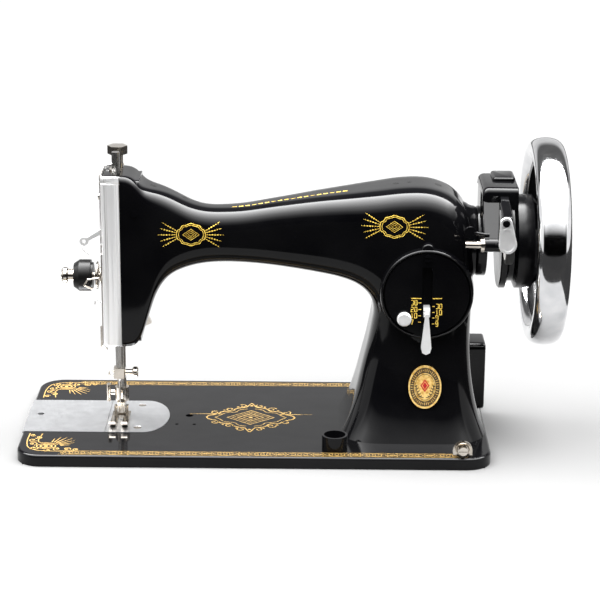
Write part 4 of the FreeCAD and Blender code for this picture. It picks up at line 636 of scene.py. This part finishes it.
# %% [markdown]
# ## The hand wheel's rim
# A spun and chromed tube of oval section. Its profile is a superellipse turned round the shaft.

# %% Wheel rim
rim_low, rim_high, rim_mid = box_mm("wheel_rim")
rim_half_wide = (rim_high[0] - rim_low[0]) / 2
rim_outer = (rim_high[2] - rim_low[2]) / 2
RIM_DEPTH, RIM_POWER = 17.0, 2.3
t = np.linspace(0, 2 * np.pi, 56, endpoint=False)
rim_profile = np.stack([
    rim_mid[0] + rim_half_wide * np.sign(np.cos(t)) * np.abs(np.cos(t)) ** (2 / RIM_POWER),
    rim_outer - RIM_DEPTH / 2
    + RIM_DEPTH / 2 * np.sign(np.sin(t)) * np.abs(np.sin(t)) ** (2 / RIM_POWER)], 1)
rim = piece("chromed_wheel_rim", *turned_shape(rim_profile, (0, 0, SHAFT_Z), "x", 192, loop=True),
            chrome, "wheel", "nickel", sharp=80)
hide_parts("wheel_rim")

# %% [markdown]
# ## The face plate
# Sheet metal bent to a C round the head's end. Its outline is a line with two round corners,
# carried up the head; the slot for the take-up lever is left out of the grid, and Solidify
# gives the sheet its thickness.

# %% Face plate
face_low, face_high, _ = box_mm("face_plate")
FACE_CORNER, FACE_SHEET = 13.0, 1.5
half = face_high[1]
c_line = softened([(HEAD_LEFT, -half), (face_low[0], -half), (face_low[0], half), (HEAD_LEFT, half)],
                  FACE_CORNER, 24)
heights = np.concatenate([[face_low[2]], np.linspace(face_low[2] + 0.8, face_high[2] - 6.6, 100),
                          face_high[2] - np.array([6.2, 5.8, 5.4, 0.8, 0.0])])
inward = np.zeros_like(heights)
inward[[0, -1]] = 0.35      # the rolled lower and upper edges
inward[-4] = 0.28           # the line rolled across under the top
grid_x = c_line[None, :, 0] + inward[:, None]
grid_y = c_line[None, :, 1] * (1 - inward[:, None] / half)
grid_z = np.broadcast_to(heights[:, None], grid_x.shape)
face_points = np.stack([grid_x, grid_y, grid_z], -1)
quads = np.array(grid_faces(*grid_x.shape, wrap_columns=False))
centres = face_points.reshape(-1, 3)[quads].mean(1)
SLOT_Y, SLOT_HALF = -17.2, 2.8
SLOT_LOW, SLOT_HIGH = 158.0, 205.0
in_slot = ((np.abs(centres[:, 1] - SLOT_Y) < SLOT_HALF) & (centres[:, 0] < face_low[0] + 9)
           & (centres[:, 2] > SLOT_LOW) & (centres[:, 2] < SLOT_HIGH))
face = piece("chromed_face_plate", face_points.reshape(-1, 3), quads[~in_slot][:, ::-1].tolist(),
             face_chrome, "frame", "nickel", closed=False, sharp=60)
thicken = face.modifiers.new("sheet", "SOLIDIFY")
thicken.thickness, thicken.offset = FACE_SHEET * MM, -1.0
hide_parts("face_plate")

# %% [markdown]
# ## Gold transfers
# The ornament is drawn as strokes: each stroke is a line in a flat plane with a width, made
# into a ribbon of faces. On the bed the ribbons lie just over the enamel; on the arm they are
# dropped onto the casting's curve by a Shrinkwrap whose result is kept.


# %% Strokes and ornaments
def ribbon(line, width, closed=False):
    """Two rows of points, the line moved half a width to each side along its normal."""
    line = np.asarray(line, float)
    run = np.roll(line, -1, 0) - np.roll(line, 1, 0) if closed else np.gradient(line, axis=0)
    run = run / (np.linalg.norm(run, axis=1, keepdims=True) + 1e-9)
    side = np.stack([-run[:, 1], run[:, 0]], 1) * np.broadcast_to(width, len(line))[:, None] / 2
    points = np.stack([line + side, line - side], 1).reshape(-1, 2)
    count = len(line)
    i = np.arange(count if closed else count - 1)
    j = (i + 1) % count
    return points, np.stack([2 * i, 2 * i + 1, 2 * j + 1, 2 * j], 1).tolist()


def strokes(items):
    """Many ribbons and blobs as one set of flat points and faces, all looking the same way."""
    points, faces, start = [], [], 0
    for flat, loops in items:
        flat = np.asarray(flat, float)
        loops = [list(loop) for loop in loops]
        for loop in loops:
            x, y = flat[loop].T
            if (x * np.roll(y, -1) - y * np.roll(x, -1)).sum() < 0:
                loop.reverse()
        faces += [[index + start for index in loop] for loop in loops]
        points.append(flat)
        start += len(flat)
    return np.concatenate(points), faces


def dot(u, v, radius, count=10):
    return circle(u, v, radius, count), [list(range(count))]


def oval(u, v, half_u, half_v, width, count=28):
    t = np.linspace(0, 2 * np.pi, count, endpoint=False)
    return ribbon(np.stack([u + half_u * np.cos(t), v + half_v * np.sin(t)], 1), width, closed=True)


def scroll(u, v, radius, start, turns, width, way=1, count=26):
    """A spiral whose radius shrinks evenly to a fifth while its angle grows."""
    t = np.linspace(0, 1, count)
    r = radius * (1 - 0.8 * t)
    angle = start + way * turns * 2 * np.pi * t
    return ribbon(np.stack([u + r * np.cos(angle), v + r * np.sin(angle)], 1), width)


def path(points, width, soft=1.0, closed=False):
    return ribbon(softened(points, soft, 5, closed), width, closed)


def moved(items, du, dv, flip_u=1, flip_v=1):
    return [(np.asarray(flat) * [flip_u, flip_v] + [du, dv], loops) for flat, loops in items]


def diamond(u, v, half_u, half_v, width):
    corners = [(u - half_u, v), (u, v + half_v), (u + half_u, v), (u, v - half_v)]
    return ribbon(corners, width, closed=True)


def link_motif():
    """One repeat of the border: an oval link with three coins and crossed scrolls beside it."""
    items = [oval(0, 0, 9.5, 3.2, 0.5)]
    for u in (-4.6, 0, 4.6):
        items.append(oval(u, 0, 1.5, 1.9, 0.45, 14))
    for side in (-1, 1):
        items.append(scroll(side * 12.0, 1.7, 2.2, np.pi / 2, 0.8, 0.45, side))
        items.append(scroll(side * 12.0, -1.7, 2.2, -np.pi / 2, 0.8, 0.45, -side))
    items.append(diamond(14.4, 0, 1.8, 2.6, 0.5))
    items.append(dot(14.4, 0, 0.7))
    edge = np.array([(-14.4, 3.9), (-7, 4.5), (0, 3.9), (7, 4.5), (14.4, 3.9)])
    items.append(path(edge, 0.35, 3))
    items.append(path(edge * [1, -1], 0.35, 3))
    return items


def corner_motif():
    """The fan of leaves and scrolls in the bed's corners, drawn for the back left one."""
    items = [oval(0, 0, 7.5, 5.2, 0.9), oval(0, 0, 4.6, 3.0, 1.2), dot(0, 0, 1.6)]
    for k in range(7):
        angle = -0.2 - k * 0.2
        tip = np.array([np.cos(angle), np.sin(angle)])
        line = np.linspace(9, 13 + 11 * np.sin((k + 1) / 8 * np.pi), 8)[:, None] * tip
        items.append(ribbon(line + [2, 0], np.linspace(1.1, 0.3, 8)))
    curls = ((-9, 4, 3.4, 0, 1), (-11, -5, 3.8, 1.2, -1), (9, 5.5, 3.0, 2.0, 1), (-12, -13, 3.6, 0.4, 1),
             (-8, -19, 3.2, 2.6, -1), (17, 5.5, 3.0, 0.4, -1), (-13, -24, 2.6, 0.5, 1),
             (24, 6.5, 2.4, 2.0, 1), (2, 8.6, 2.6, 3.4, -1))
    for u, v, r, start, way in curls:
        items.append(scroll(u, v, r, start, 1.1, 0.85, way))
        items.append(dot(u, v, 0.75))
    items.append(path([(-16, -28), (-16.5, -10), (-14, 4), (-6, 9.5), (8, 10.5), (26, 9.5)], 0.8, 6))
    items.append(path([(-6, -27), (-8, -12), (-6, -7), (2, -7.5), (9, -4)], 0.8, 4))
    return items


def medallion():
    """Diamond in a scrolled frame with a long spike to each side."""
    items = [diamond(0, 0, 19, 16, 1.1), diamond(0, 0, 15, 12.4, 0.8), diamond(0, 0, 10.5, 8.6, 1.4),
             diamond(0, 0, 6.0, 4.8, 0.9), dot(0, 0, 1.7)]
    for side in (-1, 1):
        spike = np.stack([np.linspace(side * 50, side * 24, 12), np.full(12, 7.6)], 1)
        items.append(ribbon(spike, np.linspace(0.25, 1.5, 12)))
        for v in (1, -1):
            mirror = [side, v]
            outer = np.array([(4, 24), (13, 21), (15, 14), (24, 14), (27, 7), (34, 4.5), (36, 0)])
            items.append(path(outer * mirror, 1.3, 4))
            inner = np.array([(3, 20), (10, 18), (12, 11.5), (21, 11), (25, 4), (29, 0)])
            items.append(path(inner * mirror, 0.7, 4))
            items.append(scroll(side * 17, v * 19, 4.2, 0.4 * side, 1.1, 0.9, side * v))
            items.append(scroll(side * 29, v * 11, 4.0, 1.2, 1.1, 0.9, -side * v))
            items.append(scroll(side * 7, v * 27, 3.6, 2.2, 1.0, 0.9, side * v))
            items.append(dot(side * 22, v * 16.8, 1.0))
            items.append(dot(side * 11, v * 24.5, 1.0))
    for v in (1, -1):
        items.append(path([(-4, v * 24), (0, v * 34), (4, v * 24)], 1.0, 2))
        items.append(dot(0, v * 27.5, 1.3))
    return items


def cartouche():
    """The small arm ornament: a diamond in a notched frame, with five dotted rays a side."""
    frame_line = np.array([(-4, 7.6), (0, 9.2), (4, 7.6), (7.2, 7.2), (8.2, 4.4), (10.6, 3.8),
                           (11.4, 0), (10.6, -3.8), (8.2, -4.4), (7.2, -7.2), (4, -7.6), (0, -9.2),
                           (-4, -7.6), (-7.2, -7.2), (-8.2, -4.4), (-10.6, -3.8), (-11.4, 0),
                           (-10.6, 3.8), (-8.2, 4.4), (-7.2, 7.2)])
    items = [path(frame_line, 0.6, 1.4, closed=True), path(frame_line * 0.86, 0.4, 1.2, closed=True),
             diamond(0, 0, 6.4, 4.4, 0.5), diamond(0, 0, 4.3, 2.9, 0.4), diamond(0, 0, 2.2, 1.4, 0.4)]
    for side in (-1, 1):
        for k in range(-2, 3):
            angle = k * 0.27
            tip = np.array([side * np.cos(angle), np.sin(angle)])
            root = np.array([side * 10.6, k * 1.4])
            long = 15.5 if k == 0 else 14.0
            for step in np.arange(2.0, long, 2.1):
                swell = np.sin(np.pi * (step + 2) / (long + 4))
                items.append(dot(*(root + tip * step), 0.62 * swell, 8))
            ray = root + np.linspace(0.6, long, 6)[:, None] * tip
            items.append(ribbon(ray, np.linspace(0.3, 0.12, 6)))
    return items


# %% Transfers on the bed
BORDER_ROWS = ((-82.6, 11), (79.5, 10))     # each row's Y and how many links it has
FIRST_LINK, LINK_PITCH = -137.0, 28.8
CORNER_X, CORNER_Y = -162.5, 69.5
TRANSFER_LIFT = 0.06
bed_gold = []
for row, count in BORDER_ROWS:
    for k in range(count):
        bed_gold += moved(link_motif(), FIRST_LINK + k * LINK_PITCH, row, 1, 0.9)
for flip in (-1, 1):
    bed_gold += moved(corner_motif(), CORNER_X, flip * CORNER_Y, 1, flip)
bed_gold += moved(medallion(), -4.5, -1.5)
flat, loops = strokes(bed_gold)
lifted = np.column_stack([flat, np.full(len(flat), BED_TOP + TRANSFER_LIFT)])
piece("bed_transfers", lifted, loops, bed_gold_leaf, "frame", "gold_badge", closed=False)
print("bed transfers:", len(loops), "faces")


# %% Transfers on the arm and the stitch plate
def dropped_on(made, target, axis):
    """Keeps the result of a Shrinkwrap that pushes the piece along one axis onto target."""
    wrap = made.modifiers.new("drop", "SHRINKWRAP")
    wrap.target, wrap.wrap_method, wrap.offset = target, "PROJECT", TRANSFER_LIFT * MM
    wrap.use_project_x, wrap.use_project_y, wrap.use_project_z = (axis == k for k in "xyz")
    wrap.use_positive_direction, wrap.use_negative_direction = axis == "y", axis == "z"
    graph = bpy.context.evaluated_depsgraph_get()
    mesh = bpy.data.meshes.new_from_object(made.evaluated_get(graph))
    made.modifiers.clear()
    made.data = mesh
    return made


front = moved(cartouche(), -50.6, 168.6) + moved(cartouche(), 107.6, 180.6)
flat, loops = strokes(front)
sheet = np.column_stack([flat[:, 0], np.full(len(flat), -70.0), flat[:, 1]])
arm_gold = piece("arm_transfers", sheet, loops, gold, "frame", "gold_badge", closed=False)
dropped_on(arm_gold, arm, "y")

DIGITS = {"0": [(0, 0), (1, 0), (1, 2), (0, 2), (0, 0)], "1": [(0.5, 0), (0.5, 2), (0.2, 1.6)],
          "2": [(0, 2), (1, 2), (1, 1), (0, 1), (0, 0), (1, 0)],
          "3": [(0, 2), (1, 2), (1, 1), (0.3, 1), (1, 1), (1, 0), (0, 0)],
          "7": [(0, 2), (1, 2), (0.4, 0)], "9": [(1, 1), (0, 1), (0, 2), (1, 2), (1, 0), (0, 0)],
          "8": [(0, 0), (1, 0), (1, 2), (0, 2), (0, 0), (0, 1), (1, 1)]}


def number(text, u, v, high):
    """Digits drawn with straight strokes, half as wide as they are high."""
    items = []
    for k, digit in enumerate(text):
        corners = np.array(DIGITS[digit]) * [high * 0.46, high / 2] + [u + k * high * 0.72, v]
        items += [ribbon(corners[m:m + 2], 0.6) for m in range(len(corners) - 1)]
    return items


# Left and right of the slot: the bar above, where the numbers start, the tick, the numbers.
SCALES = (((121.4, 129.3), 121.6, (127.2, 129.4),
           ("30", 119.4), ("20", 114.0), ("10", 108.9), ("7", 103.7)),
          ((138.1, 145.4), 140.9, (138.0, 139.9),
           ("30", 116.6), ("10", 111.7), ("8", 107.2), ("9", 102.3)))
BAR_Z, DIGIT_HIGH = 124.9, 3.8
dial_gold = [ribbon([(bar[0], BAR_Z), (bar[1], BAR_Z)], 0.7) for bar, *_ in SCALES]
for _, start, tick, *numbers in SCALES:
    for text, v in numbers:
        dial_gold += number(text, start, v, DIGIT_HIGH)
        level = v + DIGIT_HIGH / 2
        dial_gold.append(ribbon([(tick[0], level), (tick[1], level)], 0.6))
flat, loops = strokes(dial_gold)
sheet = np.column_stack([flat[:, 0], np.full(len(flat), DIAL_FRONT - TRANSFER_LIFT), flat[:, 1]])
piece("stitch_scale", sheet, loops, gold, "frame", "gold_badge", closed=False)

# %% [markdown]
# ## The badge's print and the marks along the arm's top
# The badge leans back with the pillar's front, so its print is turned about the badge's middle
# by the same angle. Its emblem is a plain diamond in a wreath, which stands for no maker.

# %% Badge print
BADGE_Z, BADGE_SEAT = 52.7, -45.1
BADGE_LEAN = np.radians(7.5)
BADGE_THICK = 1.2
BADGE_HALF = np.array([13.0, 17.3])
RIM_MARKS = 44


def ellipse_ring(outer, inner, count=72):
    """A flat band between two ellipses whose half sizes are shares of the badge's."""
    t = np.linspace(0, 2 * np.pi, count, endpoint=False)
    circle_line = np.stack([np.cos(t), np.sin(t)], 1) * BADGE_HALF
    points = np.concatenate([circle_line * outer, circle_line * inner])
    k = np.arange(count)
    return points, np.stack([k, (k + 1) % count, count + (k + 1) % count, count + k], 1).tolist()


def on_badge(name, items, finish, lift):
    """Lays flat shapes on the badge: (u, v, w) turns to y = w cos a + v sin a and z = v cos a -
    w sin a, where a is the lean and w the way out of the face."""
    flat, loops = strokes(items)
    w = -BADGE_THICK - lift
    y = BADGE_SEAT + w * np.cos(BADGE_LEAN) + flat[:, 1] * np.sin(BADGE_LEAN)
    z = BADGE_Z + flat[:, 1] * np.cos(BADGE_LEAN) - w * np.sin(BADGE_LEAN)
    return piece(name, np.column_stack([DIAL_X + flat[:, 0], y, z]), loops, finish, "frame",
                 "gold_badge", closed=False)


dark = [ellipse_ring(0.90, 0.66), ellipse_ring(0.61, 0.585)]
gold_marks, shade = [], []
for k in range(RIM_MARKS):
    angle = 2 * np.pi * k / RIM_MARKS
    out = np.array([np.cos(angle), np.sin(angle)])
    middle = out * BADGE_HALF * 0.78
    half = 1.1 if k % 4 else 0.5
    gold_marks.append(ribbon([middle - out * half, middle + out * half], 0.5))
red_marks = [(np.array([[-3.6, 1.2], [0, -4.0], [3.6, 1.2], [0, 6.4]]), [[0, 1, 2, 3]])]
gold_marks.append(diamond(0, 1.2, 2.2, 3.3, 0.5))
for side in (-1, 1):
    stem = np.array([(side * 0.8, -8.6), (side * 4.4, -7.6), (side * 6.6, -3.4), (side * 6.9, 1.5)])
    shade.append(ribbon(softened(stem, 2.5), 0.6))
    for k in range(5):
        root = np.array([side * (3.2 + 0.9 * k), -7.9 + 2.1 * k])
        shade.append(ribbon([root, root + [side * 1.5, 0.4]], [1.0, 0.3]))
        shade.append(ribbon([root, root + [-side * 0.9, 1.4]], [1.0, 0.3]))
on_badge("badge_dark_print", dark + shade, dark_print, 0.05)
on_badge("badge_red_print", red_marks, red_print, 0.08)
on_badge("badge_gold_print", gold_marks, pale_gold, 0.12)

# %% Painted shade for the oil holes, and gold dashes, on the arm's top
ABOVE_ARM = 230.0
# The oil holes are not cut into the casting: each row gives a hole's place across, front to back, and
# its radius, where a flat black disc is laid as painted shade.
OIL_HOLE_SHADE_DISCS = ((-81.0, 0.8, 2.3), (-56.1, 1.5, 2.3), (109.6, -1.4, 2.2), (119.8, 0.1, 1.6),
             (143.1, 1.2, 2.9))
DASH_Y, DASH_HALF, DASH_PITCH, FIRST_DASH = -4.2, 1.7, 5.1, -17.0


def on_arm_top(name, items, finish, slot):
    """Flat shapes let down onto the arm's top."""
    flat, loops = strokes(items)
    sheet = np.column_stack([flat, np.full(len(flat), ABOVE_ARM)])
    dropped_on(piece(name, sheet, loops, finish, "frame", slot, closed=False), arm, "z")


# Painted shade: each oil hole is a flat disc in the black hard rubber finish, lying on the enamel where
# the hole's dark inside would be.
on_arm_top("oil_hole_painted_shade", [dot(*hole, 20) for hole in OIL_HOLE_SHADE_DISCS], hard_rubber, "black_enamel")
dashes = []
for k in range(18):
    u = FIRST_DASH + DASH_PITCH * k
    dashes.append(ribbon([(u - DASH_HALF, DASH_Y), (u + DASH_HALF, DASH_Y)], 1.5 if k % 3 else 0.7))
on_arm_top("arm_top_dashes", dashes, gold, "gold_badge")

# %% [markdown]
# ## The studio
# A strip of white paper on a dark floor, with an opening under the bed, which is how such a head
# is carried. The paper is strongly lit, so it goes to plain white, and the floor's darkness in
# front and at the sides keeps the enamel black. The light is one long strip overhead that fades
# towards the front, with two side panels for the bright parts.

# %% Paper and floor
scene.view_settings.view_transform = "Standard"
BED_HIGH = box_mm("bed")[1]
EDGE, WELL = 5.0, -80.0
hole_x, hole_y = BED_HIGH[0] - EDGE, BED_HIGH[1] - EDGE


def flat_mesh(name, points, faces, finish):
    mesh = bpy.data.meshes.new(name)
    mesh.from_pydata((np.asarray(points, float) * MM).tolist(), [], faces)
    mesh.materials.append(finish)
    made = bpy.data.objects.new(name, mesh)
    scene.collection.objects.link(made)
    return made


def matt(name, dark, light):
    material, tree, shader = new_finish(name)
    dress(tree, shader, two_tone(tree, pattern_at(tree, 160).outputs["Fac"], dark, light), 0.9,
          Specular_IOR_Level=0.0)
    return material


ring_in = np.array([[-hole_x, -hole_y, 0], [hole_x, -hole_y, 0], [hole_x, hole_y, 0],
                    [-hole_x, hole_y, 0]])
ring_out = np.array([[-300, -330, 0], [370, -330, 0], [900, 3400, 0], [-830, 3400, 0]])
points = np.concatenate([ring_out, ring_in, ring_in + [0, 0, WELL]])
faces = [[k, (k + 1) % 4, 4 + (k + 1) % 4, 4 + k] for k in range(4)]
faces += [[4 + k, 4 + (k + 1) % 4, 8 + (k + 1) % 4, 8 + k] for k in range(4)] + [[8, 9, 10, 11]]
flat_mesh("paper_strip", points, faces, matt("white_paper", "#5b5b5b", "#5f5f5f"))
REACH, UNDER = 9000.0, WELL - 2
floor = [[x * REACH, y * REACH, UNDER] for x, y in ((-1, -1), (1, -1), (1, 1), (-1, 1))]
flat_mesh("dark_floor", floor, [[0, 1, 2, 3]], matt("dark_floor_cloth", "#101010", "#151515"))

# %% Light all round
LIGHT_PEAK = 34.0
world = bpy.data.worlds.new("studio")
scene.world = world
world.use_nodes = True
tree = world.node_tree
toward = add(tree, "SeparateXYZ", {"Vector": add(tree, "TexCoord").outputs["Generated"]})
forward = add(tree, "Math", {0: toward.outputs["Y"], 1: -1.0}, operation="MULTIPLY")
turn = add(tree, "Math", {0: toward.outputs["Z"], 1: forward.outputs["Value"]}, operation="ARCTAN2")
share = add(tree, "Math", {0: turn.outputs["Value"], 1: math.pi}, operation="DIVIDE")
ramp = add(tree, "ValToRGB", {"Fac": share.outputs["Value"]})
# From straight ahead of the machine (0) over its top (0.5) to straight behind (1).
stops = [(0.0, 0.0), (0.12, 0.0), (0.20, 0.05), (0.32, 0.22), (0.47, 0.62), (0.60, 1.0),
         (0.632, 1.0), (0.64, 0.003), (0.82, 0.004), (0.88, 0.021), (1.0, 0.025)]
ramp.color_ramp.elements[0].position = stops[0][0]
ramp.color_ramp.elements[1].position = stops[-1][0]
for position, level in stops[1:-1]:
    ramp.color_ramp.elements.new(position)
for element, (position, level) in zip(ramp.color_ramp.elements, stops):
    element.color = (level, level, level * 1.01, 1.0)
sideways = add(tree, "Math", {0: toward.outputs["X"]}, operation="ABSOLUTE").outputs["Value"]
middle = spread(tree, sideways, LIGHT_PEAK, 0.0, 0.62, 0.9)
over = add(tree, "Math", {0: ramp.outputs["Color"], 1: middle}, operation="MULTIPLY").outputs["Value"]
at_side = spread(tree, sideways, 0.0, 1.1, 0.80, 0.84)
low_side = spread(tree, toward.outputs["Z"], 1.0, 0.0, 0.45, 0.5)
side_light = add(tree, "Math", {0: at_side, 1: low_side}, operation="MULTIPLY").outputs["Value"]
total = add(tree, "Math", {0: over, 1: side_light}, operation="ADD").outputs["Value"]
tree.links.new(total, tree.nodes["Background"].inputs["Strength"])
tree.nodes["Background"].inputs["Color"].default_value = screen_colour("#ffffff")
